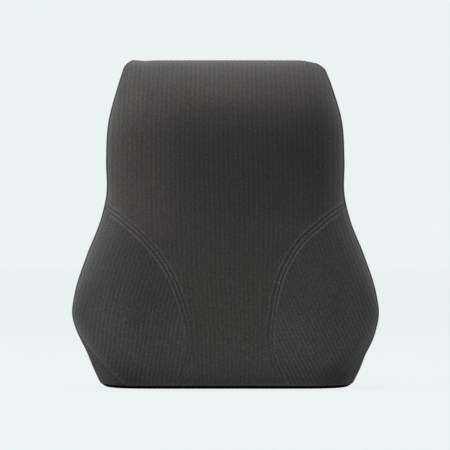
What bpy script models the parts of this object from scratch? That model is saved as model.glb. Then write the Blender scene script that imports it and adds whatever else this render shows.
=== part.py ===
"""Lumbar support cushion: a contoured memory foam block in an inner liner and a panelled, zipped
knit cover, with an elastic strap and a side-release buckle across its back.

Frame: +Z is up, +X is to the right of someone who faces the front, and the front faces -Y.
The origin is the centre of the flat base, on the surface that the cushion stands on.
Everything is in metres.
"""

import math

import bmesh
import bpy
import numpy as np
from mathutils import Vector
from mathutils.bvhtree import BVHTree

# The cushion's outer form.
HEIGHT = 0.354
BACK_Y = 0.041  # the flat back
# Half-width at each height, before the corners are rounded: a narrow top, a waist and wide wings.
HALF_WIDTH = [(0.000, 0.1330), (0.032, 0.1480), (0.060, 0.1608), (0.078, 0.1650), (0.100, 0.1625),
              (0.142, 0.1494), (0.180, 0.1345), (0.207, 0.1278), (0.245, 0.1272), (0.285, 0.1248),
              (0.325, 0.1148), (0.354, 0.1065)]
# Thickness from back to front on the centre line at each height, up to the top roll.
CENTRE_DEPTH = [(0.000, 0.086), (0.045, 0.101), (0.095, 0.107), (0.150, 0.102), (0.200, 0.096),
                (0.240, 0.094), (0.270, 0.0935)]
ROLL_START = 0.270  # above this height the front rolls back to the top edge
TOP_DEPTH = 0.014  # how far in front of the back plane the top edge lies
SIDE_ROUNDNESS = 8.0  # exponent of the front's roll into the sides: a higher value is squarer
EQUATOR = 0.42  # share of the thickness that lies behind the widest line of the sides
UPPER_CROWN = 0.012  # how far the upper front falls back towards its sides
WING_BULGE = 0.0055
WING_CENTRE = (0.105, 0.088)  # x and z of each wing's fullest point
WING_SPREAD = (0.036, 0.046)
FRONT_BASE_RADIUS = 0.014
BACK_RADIUS = 0.012
BASE_SIDE_RADIUS = 0.007
TOP_CORNER_RADIUS = 0.010

# The curved seam between the centre panel and each wing: its distance from the centre line at each
# height, on the left (-1) and the right (1). They are sewn by hand and by eye, so they differ a little.
WING_SEAMS = {
    -1: [(-0.010, 0.0575), (0.0095, 0.0487), (0.0302, 0.0410), (0.0500, 0.0378), (0.0680, 0.0393),
         (0.0932, 0.0456), (0.1180, 0.0556), (0.1432, 0.0711), (0.1564, 0.0825), (0.1697, 0.0965),
         (0.1830, 0.1128), (0.1933, 0.1270), (0.2030, 0.1420)],
    1: [(-0.010, 0.0680), (0.0095, 0.0586), (0.0290, 0.0507), (0.0530, 0.0470), (0.0852, 0.0500),
        (0.1099, 0.0551), (0.1340, 0.0645), (0.1597, 0.0825), (0.1726, 0.0970), (0.1860, 0.1135),
        (0.1954, 0.1270), (0.2060, 0.1430)],
}
# How far the side seam lies inside the outline: all but on it, except where it turns in to the base.
SEAM_INSET = [(0.000, 0.0320), (0.015, 0.0235), (0.030, 0.0145), (0.045, 0.0065), (0.056, 0.0030),
              (0.070, 0.0020), (0.120, 0.0020), (0.180, 0.0020), (0.354, 0.0020)]
FILLING_INSET = [(0.000, 0.0020), (0.120, 0.0020), (0.240, 0.0020), (0.354, 0.0020)]

# The layers, from the outside in.
KNIT = 0.0020
COVER_GAP = 0.0014  # room for the zip between cover and liner
LINER = 0.0008
LINER_GAP = 0.0008
SEAM_GAP = 0.0004
THREAD_RADIUS = 0.0005
TOPSTITCH_OFFSET = 0.0021  # each thread row, to either side of its seam
TOPSTITCH_SPAN = (0.016, 0.183)  # heights between which the rows run
TOPSTITCH_POINTS = 34
SEAM_WALL_POINTS = 26
BEFORE_THE_FRONT = -0.12  # a plane that lies wholly in front of the cushion
LINER_SLIT = (0.090, 0.064, 0.003)  # half-length, height and width of the slit that the foam goes in by
LABEL_CORNER = (-0.121, 0.072)
LABEL_SIZE = (0.026, 0.0004, 0.034)

# Grid of the form: rows by height, columns by stretches of half the section.
BASE_ROW_ANGLES = (0, 25, 45, 65, 90)
BODY_ROWS = (0.026, 0.035, 0.050, 0.064, 0.078, 0.095, 0.115, 0.136, 0.156, 0.175, 0.195, 0.220,
             0.245, ROLL_START)
ROLL_ROW_ANGLES = (12, 24, 36, 48, 60, 70, 78, 84, 90)
SHOULDER = 0.72  # share of the half-width where the columns draw closer for the side roll
CENTRE_COLUMNS = 5
SHOULDER_COLUMNS = 6
GUSSET_FRONT_COLUMNS = 5
GUSSET_BACK_COLUMNS = 2
CORNER_COLUMNS = 3
BACK_COLUMNS = CENTRE_COLUMNS + SHOULDER_COLUMNS - CORNER_COLUMNS
SECTION_SAMPLES = 120

# The zip along the foot of the back.
ZIP_Z = 0.035
ZIP_HALF_LENGTH = 0.125
ZIP_SLOT_HALF = 0.011
TAPE_THICKNESS = 0.0006
TAPE_Y = BACK_Y - 0.0016  # inner face of the tapes
COIL_INNER = 0.0007  # from the zip's centre line to each coil
COIL_WIDTH = 0.0024
COIL_HEIGHT = 0.0016
COIL_END = 0.006  # each coil ends this far inside the ends of its tape
CLEARANCE = 0.0003
TOP_STOP_LENGTH = 0.0024
TOP_STOP_INSET = 0.004
BOTTOM_STOP_LENGTH = 0.003
SLIDER_X = -0.112
SLIDER_SIZE = (0.011, 0.0088)
SLIDER_PLATE = 0.0010
SLIDER_NECK = (0.0004, 0.0034)  # where the neck starts and ends, behind the slider's front
CROWN_HALF = (0.0030, 0.0008)
CROWN_RISE = 0.0028
CROWN_HOLE_RISE = 0.0013
SINK = 0.0005  # how far joined blocks reach into one another
PULL_START = -0.0010
PULL_LENGTH = 0.026
PULL_WIDTH = 0.0066
PULL_THICKNESS = 0.0012
PULL_PIN_RADIUS = 0.0006
PULL_EYE = (-0.0040, 0.0045)  # the opening round the pin, along the tab
PULL_EYE_HALF = 0.0012

# The elastic strap and its buckle. Heights above the back are "lift".
STRAP_Z = 0.190
STRAP_WIDTH = 0.038
STRAP_THICKNESS = 0.0014
STRAP_END_X = 0.1145
# The line of each strap as (x, lift): the left one is sewn round the socket's bar, and the right one
# is threaded through the plug's two bars for adjustment.
LEFT_ROUTE = [(-STRAP_END_X, 0.0012), (-0.0900, 0.0012), (-0.0650, 0.0012), (-0.0460, 0.0013),
              (-0.0380, 0.0022), (-0.0330, 0.0027), (-0.0300, 0.0036), (-0.0292, 0.0056),
              (-0.0300, 0.0076), (-0.0330, 0.0084), (-0.0380, 0.0076), (-0.0450, 0.0050),
              (-0.0530, 0.0034), (-0.0680, 0.0033)]
RIGHT_ROUTE = [(STRAP_END_X, 0.0012), (0.0900, 0.0012), (0.0640, 0.0012), (0.0500, 0.0018),
               (0.0390, 0.0050), (0.0315, 0.0077), (0.0270, 0.0084), (0.0240, 0.0081),
               (0.0226, 0.0068), (0.0222, 0.0046), (0.0207, 0.0030), (0.0182, 0.0026),
               (0.0156, 0.0033), (0.0145, 0.0056), (0.0156, 0.0078), (0.0185, 0.0092),
               (0.0230, 0.0101), (0.0290, 0.0103), (0.0345, 0.0094), (0.0430, 0.0063),
               (0.0520, 0.0040), (0.0660, 0.0034), (0.0840, 0.0034)]
STRAP_PLAY = 0.0006  # room for the strap in a slot, at each edge
BUCKLE_WIDTH = 0.047
BUCKLE_LIFT = (0.0007, 0.0107)
BUCKLE_WALL = 0.0018
FEMALE_X = (-0.0345, 0.0040)
FEMALE_POCKET_X = -0.0205
POCKET_HALF = 0.0205
WINDOW_X = (-0.0170, -0.0040)
BAR_LIFT = (0.0039, 0.0071)
FEMALE_SLOT_X = (-0.0315, -0.0240)
FEMALE_BAR_END = -0.0262
MALE_X = (0.0046, 0.0285)
MALE_LIFT = (0.0030, 0.0086)
MALE_SLOTS_X = (("inner", (0.0124, 0.0168)), ("outer", (0.0202, 0.0246)))
MALE_BARS_START = 0.0150
TONGUE_X = (-0.0170, 0.0056)
TONGUE_LIFT = (0.0034, 0.0080)
TONGUE_HALF = 0.0028
PRONG_PIVOT = (0.0028, 0.0130)  # x, and distance from the strap's centre line
PRONG_LIFT = (0.0028, 0.0086)
PRONG_TIP_X = -0.0165
PRONG_THICKNESS = 0.0030
PAD_X = (-0.0150, -0.0050)
PAD_OUT = 0.0232
PAD_STEP = 0.0002  # how much thinner the pad is than its arm, on each face
OVERCUT = 0.004  # how far a cutter reaches past what it cuts

CHARCOAL = (0.030, 0.031, 0.033)
BLACK_FABRIC = (0.008, 0.008, 0.009)
FOAM_COLOR = (0.80, 0.77, 0.68)
LINER_COLOR = (0.85, 0.85, 0.83)
THREAD_COLOR = (0.045, 0.046, 0.050)
LABEL_COLOR = (0.82, 0.82, 0.80)
TAPE_COLOR = (0.012, 0.012, 0.013)
COIL_COLOR = (0.015, 0.015, 0.016)
STOP_COLOR = (0.32, 0.32, 0.33)
SLIDER_COLOR = (0.05, 0.05, 0.052)
WEBBING_COLOR = (0.018, 0.018, 0.020)
PLASTIC_COLOR = (0.012, 0.012, 0.013)


def smooth_curve(points, at):
    """A cubic curve through (position, value) points, read at one position."""
    xs, ys = np.array(points).T
    slopes = np.gradient(ys, xs)
    i = int(np.clip(np.searchsorted(xs, at) - 1, 0, len(xs) - 2))
    span = xs[i + 1] - xs[i]
    t = (at - xs[i]) / span
    rest = 1 - t
    ends = (1 + 2 * t) * rest ** 2 * ys[i] + t * t * (3 - 2 * t) * ys[i + 1]
    return float(ends + t * rest * span * (rest * slopes[i] - t * slopes[i + 1]))


def smooth_step(value, low, high):
    """0 below low, 1 above high, and an even S between them."""
    t = min(max((value - low) / (high - low), 0.0), 1.0)
    return t * t * (3 - 2 * t)


def drawn_in(distance, radius):
    """How far a round edge is drawn in, at this distance from the face that it turns into."""
    return radius - math.sqrt(radius ** 2 - max(radius - distance, 0.0) ** 2)


# ---------------------------------------------------------------- the form


def half_width(z):
    corner = drawn_in(z, BASE_SIDE_RADIUS) + drawn_in(HEIGHT - z, TOP_CORNER_RADIUS)
    return smooth_curve(HALF_WIDTH, z) - corner


def back_y(z):
    return BACK_Y - drawn_in(z, BACK_RADIUS) - drawn_in(HEIGHT - z, BACK_RADIUS)


def front_y(x, z):
    """The front surface before it rolls into the sides."""
    climb = max(z - ROLL_START, 0.0) / (HEIGHT - ROLL_START)
    roll = math.sqrt(max(1 - climb ** 2, 0.0))
    depth = TOP_DEPTH + (smooth_curve(CENTRE_DEPTH, min(z, ROLL_START)) - TOP_DEPTH) * roll
    depth -= drawn_in(z, FRONT_BASE_RADIUS)
    share = x / half_width(z)
    depth -= UPPER_CROWN * smooth_step(z, 0.12, 0.24) * roll * share ** 2
    wing_x = (abs(x) - WING_CENTRE[0]) / WING_SPREAD[0]
    wing_z = (z - WING_CENTRE[1]) / WING_SPREAD[1]
    depth += WING_BULGE * math.exp(-(wing_x ** 2 + wing_z ** 2))
    return BACK_Y - depth


def stretch(line, start, end, columns):
    """Evenly spaced points on a polyline between two lengths along it, without the last one."""
    steps = np.hypot(*np.diff(line, axis=0).T)
    along = np.concatenate([[0], np.cumsum(steps)])
    at = np.linspace(start, end, columns + 1)[:-1]
    return np.column_stack([np.interp(at, along, line[:, k]) for k in (0, 1)])


def half_section(z, inset):
    """Points (x, y) of the right half of the section at a height, from front centre to back centre.

    One column of points runs along the side seam, this far inside the outline.
    """
    half, back = half_width(z), back_y(z)
    thickness = back - front_y(0, z)
    equator = back - EQUATOR * thickness
    shares = np.sin(np.linspace(0, math.pi / 2, SECTION_SAMPLES))
    front = []
    for share in shares:
        fall = math.sqrt(max(1 - share ** SIDE_ROUNDNESS, 0.0))
        front.append((half * share, equator + (front_y(half * share, z) - equator) * fall))
    front = np.array(front)
    along = np.concatenate([[0], np.cumsum(np.hypot(*np.diff(front, axis=0).T))])
    shoulder = np.interp(SHOULDER * half, front[:, 0], along)
    seam = np.interp(half - inset, front[:, 0], along)
    points = [
        stretch(front, 0, shoulder, CENTRE_COLUMNS),
        stretch(front, shoulder, seam, SHOULDER_COLUMNS),
        stretch(front, seam, along[-1], GUSSET_FRONT_COLUMNS),
    ]
    corner = min(BACK_RADIUS, 0.3 * thickness)
    side = np.linspace((half, equator), (half, back - corner), GUSSET_BACK_COLUMNS + 1)
    angles = np.linspace(0, math.pi / 2, CORNER_COLUMNS + 1)[:-1]
    turn = [(half - corner * (1 - math.cos(a)), back - corner * (1 - math.sin(a))) for a in angles]
    flat = np.linspace((half - corner, back), (0, back), BACK_COLUMNS + 1)
    return np.concatenate(points + [side[:-1], np.array(turn), flat])


def row_heights():
    base = [FRONT_BASE_RADIUS * (1 - math.cos(math.radians(a))) for a in BASE_ROW_ANGLES]
    rise = HEIGHT - ROLL_START
    roll = [ROLL_START + rise * math.sin(math.radians(a)) for a in ROLL_ROW_ANGLES]
    return base + list(BODY_ROWS) + roll


def form_grid(seam_inset):
    """Points of the form, rows by columns: each row runs right round, from front centre by +X."""
    rings = []
    for z in row_heights():
        half = half_section(z, smooth_curve(seam_inset, z))
        mirrored = half[-2:0:-1] * (-1, 1)
        ring = np.concatenate([half, mirrored])
        rings.append(np.column_stack([ring, np.full(len(ring), z)]))
    return np.array(rings)


HEIGHTS = row_heights()
GRID = form_grid(SEAM_INSET)
ROWS, COLUMNS = GRID.shape[:2]
FACE_COLUMNS = CENTRE_COLUMNS + SHOULDER_COLUMNS  # from a centre line to a side seam, front or back
BACK_CENTRE = COLUMNS // 2
BASE_SEAM_ROW = 2
ZIP_ROW = HEIGHTS.index(ZIP_Z)
TOP_SEAM_ROW = HEIGHTS.index(ROLL_START) + 6


def index(row, column):
    return row * COLUMNS + column % COLUMNS


def wall_faces(rows, columns):
    return [
        (index(r, c), index(r, c + 1), index(r + 1, c + 1), index(r + 1, c))
        for r in rows
        for c in columns
    ]


def top_faces():
    """The narrow top edge: a strip between front and back, with a small face at each end."""
    top = ROWS - 1
    strip = []
    for c in range(-FACE_COLUMNS, FACE_COLUMNS):
        front, back = (index(top, c), index(top, c + 1)), (BACK_CENTRE - c, BACK_CENTRE - c - 1)
        strip.append((front[0], front[1], index(top, back[1]), index(top, back[0])))
    right = [index(top, c) for c in range(FACE_COLUMNS, BACK_CENTRE - FACE_COLUMNS + 1)]
    left = [index(top, c) for c in range(BACK_CENTRE + FACE_COLUMNS, COLUMNS - FACE_COLUMNS + 1)]
    return strip, [tuple(right), tuple(left)]


def base_faces():
    return [tuple(index(0, c) for c in reversed(range(COLUMNS)))]


def closed_faces():
    strip, ends = top_faces()
    return wall_faces(range(ROWS - 1), range(COLUMNS)) + strip + ends + base_faces()


def form_normals(grid):
    """The outward normal of the closed form at each of its points."""
    bm = bmesh.new()
    points = [bm.verts.new(p) for p in grid.reshape(-1, 3)]
    for face in closed_faces():
        bm.faces.new([points[i] for i in face])
    bm.normal_update()
    normals = np.array([v.normal[:] for v in points])
    bm.free()
    return normals


POINTS = GRID.reshape(-1, 3)
NORMALS = form_normals(GRID)
# The same form with its columns upright, for the filling, which has no side seams.
FILLING_GRID = form_grid(FILLING_INSET)
FILLING_POINTS = FILLING_GRID.reshape(-1, 3)
FILLING_NORMALS = form_normals(FILLING_GRID)


# ---------------------------------------------------------------- building blocks


def collection(name):
    group = bpy.data.collections.new(name)
    bpy.context.scene.collection.children.link(group)
    return group


def clear_scene():
    for item in list(bpy.data.objects):
        bpy.data.objects.remove(item, do_unlink=True)


def material(name, color, roughness, metallic=0.0):
    made = bpy.data.materials.new(name)
    made.use_nodes = True
    shader = made.node_tree.nodes["Principled BSDF"]
    shader.inputs["Base Color"].default_value = (*color, 1)
    shader.inputs["Roughness"].default_value = roughness
    shader.inputs["Metallic"].default_value = metallic
    return made


def finish(item, color, roughness, metallic=0.0):
    """Gives a sub-part its own material and smooth shading, and files it with the parts."""
    item.data.materials.clear()
    item.data.materials.append(material(item.name, color, roughness, metallic))
    if item.type == "MESH":
        item.data.shade_smooth()
        item.data.set_sharp_from_angle(angle=math.radians(35))
    file_in(item, PARTS)
    return item


def file_in(item, group):
    for old in list(item.users_collection):
        old.objects.unlink(item)
    group.objects.link(item)


def mesh_object(name, points, faces):
    mesh = bpy.data.meshes.new(name)
    mesh.from_pydata([tuple(p) for p in points], [], faces)
    item = bpy.data.objects.new(name, mesh)
    bpy.context.scene.collection.objects.link(item)
    return item


def layer(name, points, normals, faces, outer, inner):
    """A skin that lies between two depths under the form's surface, closed round its open edges."""
    bm = bmesh.new()
    used = sorted({i for face in faces for i in face})
    outside = {i: bm.verts.new(points[i] - outer * normals[i]) for i in used}
    inside = {i: bm.verts.new(points[i] - inner * normals[i]) for i in used}
    edges = {}
    for face in faces:
        bm.faces.new([outside[i] for i in face])
        bm.faces.new([inside[i] for i in reversed(face)])
        for a, b in zip(face, face[1:] + face[:1]):
            edges[(a, b)] = True
    for a, b in edges:
        if (b, a) not in edges:
            bm.faces.new([outside[b], outside[a], inside[a], inside[b]])
    mesh = bpy.data.meshes.new(name)
    bm.to_mesh(mesh)
    bm.free()
    item = bpy.data.objects.new(name, mesh)
    bpy.context.scene.collection.objects.link(item)
    return item


def patch(name, rows, outer=0.0, inner=KNIT, trim=SEAM_GAP / 2):
    """A panel from rows of grid indices, its four edges drawn in by half a seam gap."""
    rows = np.array(rows)
    points, normals = POINTS[rows].copy(), NORMALS[rows]
    for edge, inward in (((0, slice(None)), (1, slice(None))), ((-1, slice(None)), (-2, slice(None))),
                         ((slice(None), 0), (slice(None), 1)), ((slice(None), -1), (slice(None), -2))):
        across = points[inward] - points[edge]
        points[edge] += trim * across / np.linalg.norm(across, axis=1, keepdims=True)
    count, width = rows.shape
    faces = [
        (r * width + c, r * width + c + 1, (r + 1) * width + c + 1, (r + 1) * width + c)
        for r in range(count - 1)
        for c in range(width - 1)
    ]
    return layer(name, points.reshape(-1, 3), normals.reshape(-1, 3), faces, outer, inner)


def box(name, low, high, bevel=0.0, segments=2):
    low, high = Vector(low), Vector(high)
    bpy.ops.mesh.primitive_cube_add(size=1, location=(low + high) / 2)
    item = bpy.context.object
    item.name = item.data.name = name
    item.scale = high - low
    bpy.ops.object.transform_apply(location=False, rotation=False, scale=True)
    if bevel:
        edge = item.modifiers.new("round", "BEVEL")
        edge.width = bevel
        edge.segments = segments
        edge.limit_method = "NONE"
    return item


def rod(name, center, radius, length, axis, sides=16):
    """A cylinder along "X", "Y" or "Z"."""
    turn = {"X": (0, math.pi / 2, 0), "Y": (math.pi / 2, 0, 0), "Z": (0, 0, 0)}[axis]
    bpy.ops.mesh.primitive_cylinder_add(vertices=sides, radius=radius, depth=length,
                                        location=center, rotation=turn)
    item = bpy.context.object
    item.name = item.data.name = name
    bpy.ops.object.transform_apply(location=False, rotation=True, scale=False)
    return item


def combine(item, tool, operation):
    """Cuts or joins tool to item. The tool stays as a guide, which isn't part of the cushion."""
    tool.hide_render = True
    tool.display_type = "WIRE"
    file_in(tool, CUTTERS)
    change = item.modifiers.new(tool.name, "BOOLEAN")
    change.operation = operation
    change.solver = "EXACT"
    change.object = tool
    return item


def cut(item, *tools):
    for tool in tools:
        combine(item, tool, "DIFFERENCE")
    return item


def join(item, *tools):
    for tool in tools:
        combine(item, tool, "UNION")
    return item


def evaluated_mesh(item):
    graph = bpy.context.evaluated_depsgraph_get()
    return bpy.data.meshes.new_from_object(item.evaluated_get(graph))


def loose_parts(item, names):
    """Splits an item that its cutters divide into separate bodies, named by order along +X."""
    bm = bmesh.new()
    bm.from_mesh(evaluated_mesh(item))
    islands, left = [], set(bm.faces)
    while left:
        front, island = [left.pop()], set()
        while front:
            face = front.pop()
            island.add(face)
            beside = {f for e in face.edges for f in e.link_faces} & left
            left -= beside
            front.extend(beside)
        islands.append(island)
    islands.sort(key=lambda faces: np.mean([f.calc_center_median().x for f in faces]))
    pieces = []
    for name, island in zip(names, islands):
        order = sorted({v for f in island for v in f.verts}, key=lambda v: v.index)
        place = {v: i for i, v in enumerate(order)}
        faces = [[place[v] for v in f.verts] for f in sorted(island, key=lambda f: f.index)]
        pieces.append(mesh_object(name, [v.co for v in order], faces))
    bm.free()
    bpy.data.objects.remove(item, do_unlink=True)
    return pieces


def empty_at(name, place):
    pivot = bpy.data.objects.new(name, None)
    pivot.location = place
    PARTS.objects.link(pivot)
    return pivot


def hang_on(pivot, item):
    """Parents an item to the empty on its joint's axis, without moving it."""
    bpy.context.view_layer.update()
    item.parent = pivot
    item.matrix_parent_inverse = pivot.matrix_world.inverted()


# ---------------------------------------------------------------- filling


def foam_core():
    depth = KNIT + COVER_GAP + LINER + LINER_GAP
    core = mesh_object("foam_core", FILLING_POINTS - depth * FILLING_NORMALS, closed_faces())
    finish(core, FOAM_COLOR, 0.9)


def inner_liner():
    outer = KNIT + COVER_GAP
    liner = layer("inner_liner", FILLING_POINTS, FILLING_NORMALS, closed_faces(), outer, outer + LINER)
    half, low, width = LINER_SLIT
    depth = outer + LINER + OVERCUT
    slit = box("liner_slit", (-half, BACK_Y - depth, low), (half, BACK_Y, low + width))
    finish(cut(liner, slit), LINER_COLOR, 0.85)


# ---------------------------------------------------------------- cover


def seam_x(z, side):
    """Where a wing seam runs: side is -1 on the left and 1 on the right."""
    return side * smooth_curve(WING_SEAMS[side], z)


def seam_line(side, low, high, count):
    return [(seam_x(z, side), z) for z in np.linspace(low, high, count)]


def seam_wall(name, side):
    """A thin wall that follows a wing seam, to part the front into its panels."""
    line = seam_line(side, WING_SEAMS[side][0][0], WING_SEAMS[side][-1][0], SEAM_WALL_POINTS)
    points = [(x, y, z) for x, z in line for y in (BEFORE_THE_FRONT, 0.0)]
    faces = [(2 * i, 2 * i + 1, 2 * i + 3, 2 * i + 2) for i in range(len(line) - 1)]
    wall = mesh_object(name, points, faces)
    thick = wall.modifiers.new("thickness", "SOLIDIFY")
    thick.thickness = SEAM_GAP
    thick.offset = 0
    return wall


def front_panels():
    """The centre panel, which runs over the top to the back, and the two wings."""
    columns = range(-FACE_COLUMNS, FACE_COLUMNS + 1)
    rows = [[index(r, c) for c in columns] for r in range(BASE_SEAM_ROW, ROWS)]
    rows += [[index(r, BACK_CENTRE - c) for c in columns] for r in range(ROWS - 1, TOP_SEAM_ROW - 1, -1)]
    front = patch("front_cover", rows)
    cut(front, seam_wall("left_seam_wall", -1), seam_wall("right_seam_wall", 1))
    names = ("left_wing_panel", "front_center_panel", "right_wing_panel")
    return [finish(piece, CHARCOAL, 0.9) for piece in loose_parts(front, names)]


def side_gusset(name, first, last):
    rows = [[index(r, c) for c in range(first, last + 1)] for r in range(BASE_SEAM_ROW, ROWS)]
    finish(patch(name, rows), CHARCOAL, 0.9)


def side_gussets():
    side_gusset("right_side_gusset", FACE_COLUMNS, BACK_CENTRE - FACE_COLUMNS)
    side_gusset("left_side_gusset", BACK_CENTRE + FACE_COLUMNS, COLUMNS - FACE_COLUMNS)


def zip_slot(name):
    reach = KNIT + 2 * OVERCUT
    low = (-ZIP_HALF_LENGTH, BACK_Y - reach, ZIP_Z - ZIP_SLOT_HALF)
    return box(name, low, (ZIP_HALF_LENGTH, BACK_Y + reach, ZIP_Z + ZIP_SLOT_HALF))


def back_panels():
    columns = range(BACK_CENTRE - FACE_COLUMNS, BACK_CENTRE + FACE_COLUMNS + 1)
    for name, first, last in (("back_panel_lower", BASE_SEAM_ROW, ZIP_ROW),
                              ("back_panel_upper", ZIP_ROW, TOP_SEAM_ROW)):
        rows = [[index(r, c) for c in columns] for r in range(first, last + 1)]
        finish(cut(patch(name, rows), zip_slot(name + "_slot")), CHARCOAL, 0.9)


def bottom_panel():
    """The base, with a rim that turns up to the seam round the foot of the cushion."""
    points = POINTS.copy()
    rim = slice(BASE_SEAM_ROW * COLUMNS, (BASE_SEAM_ROW + 1) * COLUMNS)
    below = slice((BASE_SEAM_ROW - 1) * COLUMNS, BASE_SEAM_ROW * COLUMNS)
    down = points[below] - points[rim]
    points[rim] += SEAM_GAP / 2 * down / np.linalg.norm(down, axis=1, keepdims=True)
    faces = wall_faces(range(BASE_SEAM_ROW), range(COLUMNS)) + base_faces()
    finish(layer("bottom_panel", points, NORMALS, faces, 0.0, KNIT), BLACK_FABRIC, 0.9)


def tube(name, points, radius):
    curve = bpy.data.curves.new(name, "CURVE")
    curve.dimensions = "3D"
    curve.bevel_depth = radius
    curve.bevel_resolution = 1
    curve.use_fill_caps = True
    line = curve.splines.new("POLY")
    line.points.add(len(points) - 1)
    for target, place in zip(line.points, points):
        target.co = (*place, 1)
    item = bpy.data.objects.new(name, curve)
    bpy.context.scene.collection.objects.link(item)
    return item


def topstitching(panels):
    """Two rows of thread along each wing seam, laid just proud of the panels."""
    trees = []
    for panel in panels:
        bm = bmesh.new()
        bm.from_mesh(panel.data)
        trees.append(BVHTree.FromBMesh(bm))
        bm.free()
    lift = THREAD_RADIUS + 2 * CLEARANCE
    for side, hand in ((-1, "left"), (1, "right")):
        line = np.array(seam_line(side, *TOPSTITCH_SPAN, TOPSTITCH_POINTS))
        along = np.gradient(line, axis=0)
        across = np.column_stack([along[:, 1], -along[:, 0]])
        across /= np.linalg.norm(across, axis=1, keepdims=True)
        for outward, row in ((1, "outer"), (-1, "inner")):
            path = []
            for x, z in line + across * side * outward * TOPSTITCH_OFFSET:
                eye = Vector((x, BEFORE_THE_FRONT, z))
                hits = [tree.ray_cast(eye, Vector((0, 1, 0))) for tree in trees]
                surface = min(hit[0].y for hit in hits if hit[0] is not None)
                path.append((x, surface - lift, z))
            thread = tube(f"{hand}_wing_topstitch_{row}", path, THREAD_RADIUS)
            finish(thread, THREAD_COLOR, 0.6)


def care_label():
    low = Vector((LABEL_CORNER[0], BACK_Y + CLEARANCE, LABEL_CORNER[1]))
    finish(box("care_label", low, low + Vector(LABEL_SIZE)), LABEL_COLOR, 0.7)


# ---------------------------------------------------------------- zip


def zip_half(name, up):
    """One tape with its coil, above the zip's centre line (up is 1) or below it (up is -1)."""

    def strip(part, near, far, low_y, high_y, half_length, bevel=0.0):
        sides = sorted((ZIP_Z + up * near, ZIP_Z + up * far))
        return box(part, (-half_length, low_y, sides[0]), (half_length, high_y, sides[1]), bevel, 1)

    tape_top = TAPE_Y + TAPE_THICKNESS
    tape = strip(f"zip_tape_{name}", COIL_INNER + CLEARANCE, ZIP_SLOT_HALF - CLEARANCE,
                 TAPE_Y, tape_top, ZIP_HALF_LENGTH - CLEARANCE)
    finish(tape, TAPE_COLOR, 0.8)
    coil_low = tape_top + CLEARANCE
    coil = strip(f"zip_coil_{name}", COIL_INNER, COIL_INNER + COIL_WIDTH,
                 coil_low, coil_low + COIL_HEIGHT, ZIP_HALF_LENGTH - COIL_END, 0.0004)
    finish(coil, COIL_COLOR, 0.45)
    stop = strip(f"zip_top_stop_{name}", COIL_INNER, COIL_INNER + COIL_WIDTH,
                 coil_low, coil_low + COIL_HEIGHT, TOP_STOP_LENGTH / 2, 0.0003)
    stop.location.x = TOP_STOP_INSET - ZIP_HALF_LENGTH
    finish(stop, STOP_COLOR, 0.3, 1.0)


def zip_bottom_stop():
    """The clip across both coils at the end where the zip opens."""
    low_y = TAPE_Y + TAPE_THICKNESS + CLEARANCE
    reach = COIL_INNER + COIL_WIDTH
    start = ZIP_HALF_LENGTH - COIL_END + CLEARANCE
    high = (start + BOTTOM_STOP_LENGTH, low_y + COIL_HEIGHT, ZIP_Z + reach)
    stop = box("zip_bottom_stop", (start, low_y, ZIP_Z - reach), high, 0.0003, 1)
    finish(stop, STOP_COLOR, 0.3, 1.0)


def zip_slider():
    """Two plates joined by a neck between the coils, with flanges outside them and a crown on top."""
    pivot = empty_at("zip_slider_origin", (SLIDER_X, BACK_Y, ZIP_Z))
    coil_top = TAPE_Y + TAPE_THICKNESS + CLEARANCE + COIL_HEIGHT
    top = coil_top + CLEARANCE
    bottom = TAPE_Y - CLEARANCE
    long, wide = SLIDER_SIZE[0] / 2, SLIDER_SIZE[1] / 2

    def block(name, x, y, z, bevel=0.0):
        low = (SLIDER_X + x[0], y[0], ZIP_Z + z[0])
        return box(name, low, (SLIDER_X + x[1], y[1], ZIP_Z + z[1]), bevel, 2)

    body = block("zip_slider_body", (-long, long), (top, top + SLIDER_PLATE), (-wide, wide), 0.0003)
    under = block("slider_under_plate", (-long, long), (bottom - 0.9 * SLIDER_PLATE, bottom), (-wide, wide))
    neck_half = COIL_INNER - CLEARANCE
    neck = block("slider_neck", (SLIDER_NECK[0] - long, SLIDER_NECK[1] - long),
                 (bottom - SINK, top + SINK), (-neck_half, neck_half))
    flange_y = (TAPE_Y + TAPE_THICKNESS + CLEARANCE, top + SINK)
    near, far = COIL_INNER + COIL_WIDTH + CLEARANCE, wide - SINK / 5
    flanges = [block(f"slider_flange_{n}", (2 * SINK - long, long - 2 * SINK), flange_y, z)
               for n, z in (("upper", (near, far)), ("lower", (-far, -near)))]
    crown_x, crown_z = CROWN_HALF
    crown = block("slider_crown", (-crown_x, crown_x),
                  (top + SINK, top + SLIDER_PLATE + CROWN_RISE), (-crown_z, crown_z), 0.0003)
    hole_y = top + SLIDER_PLATE + CROWN_HOLE_RISE
    hole = rod("slider_crown_hole", (SLIDER_X, hole_y, ZIP_Z), PULL_PIN_RADIUS + CLEARANCE, 0.006, "Z", 12)
    cut(join(body, under, neck, *flanges, crown), hole)
    finish(body, SLIDER_COLOR, 0.35, 0.8)
    hang_on(pivot, body)
    return hole_y


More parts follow.
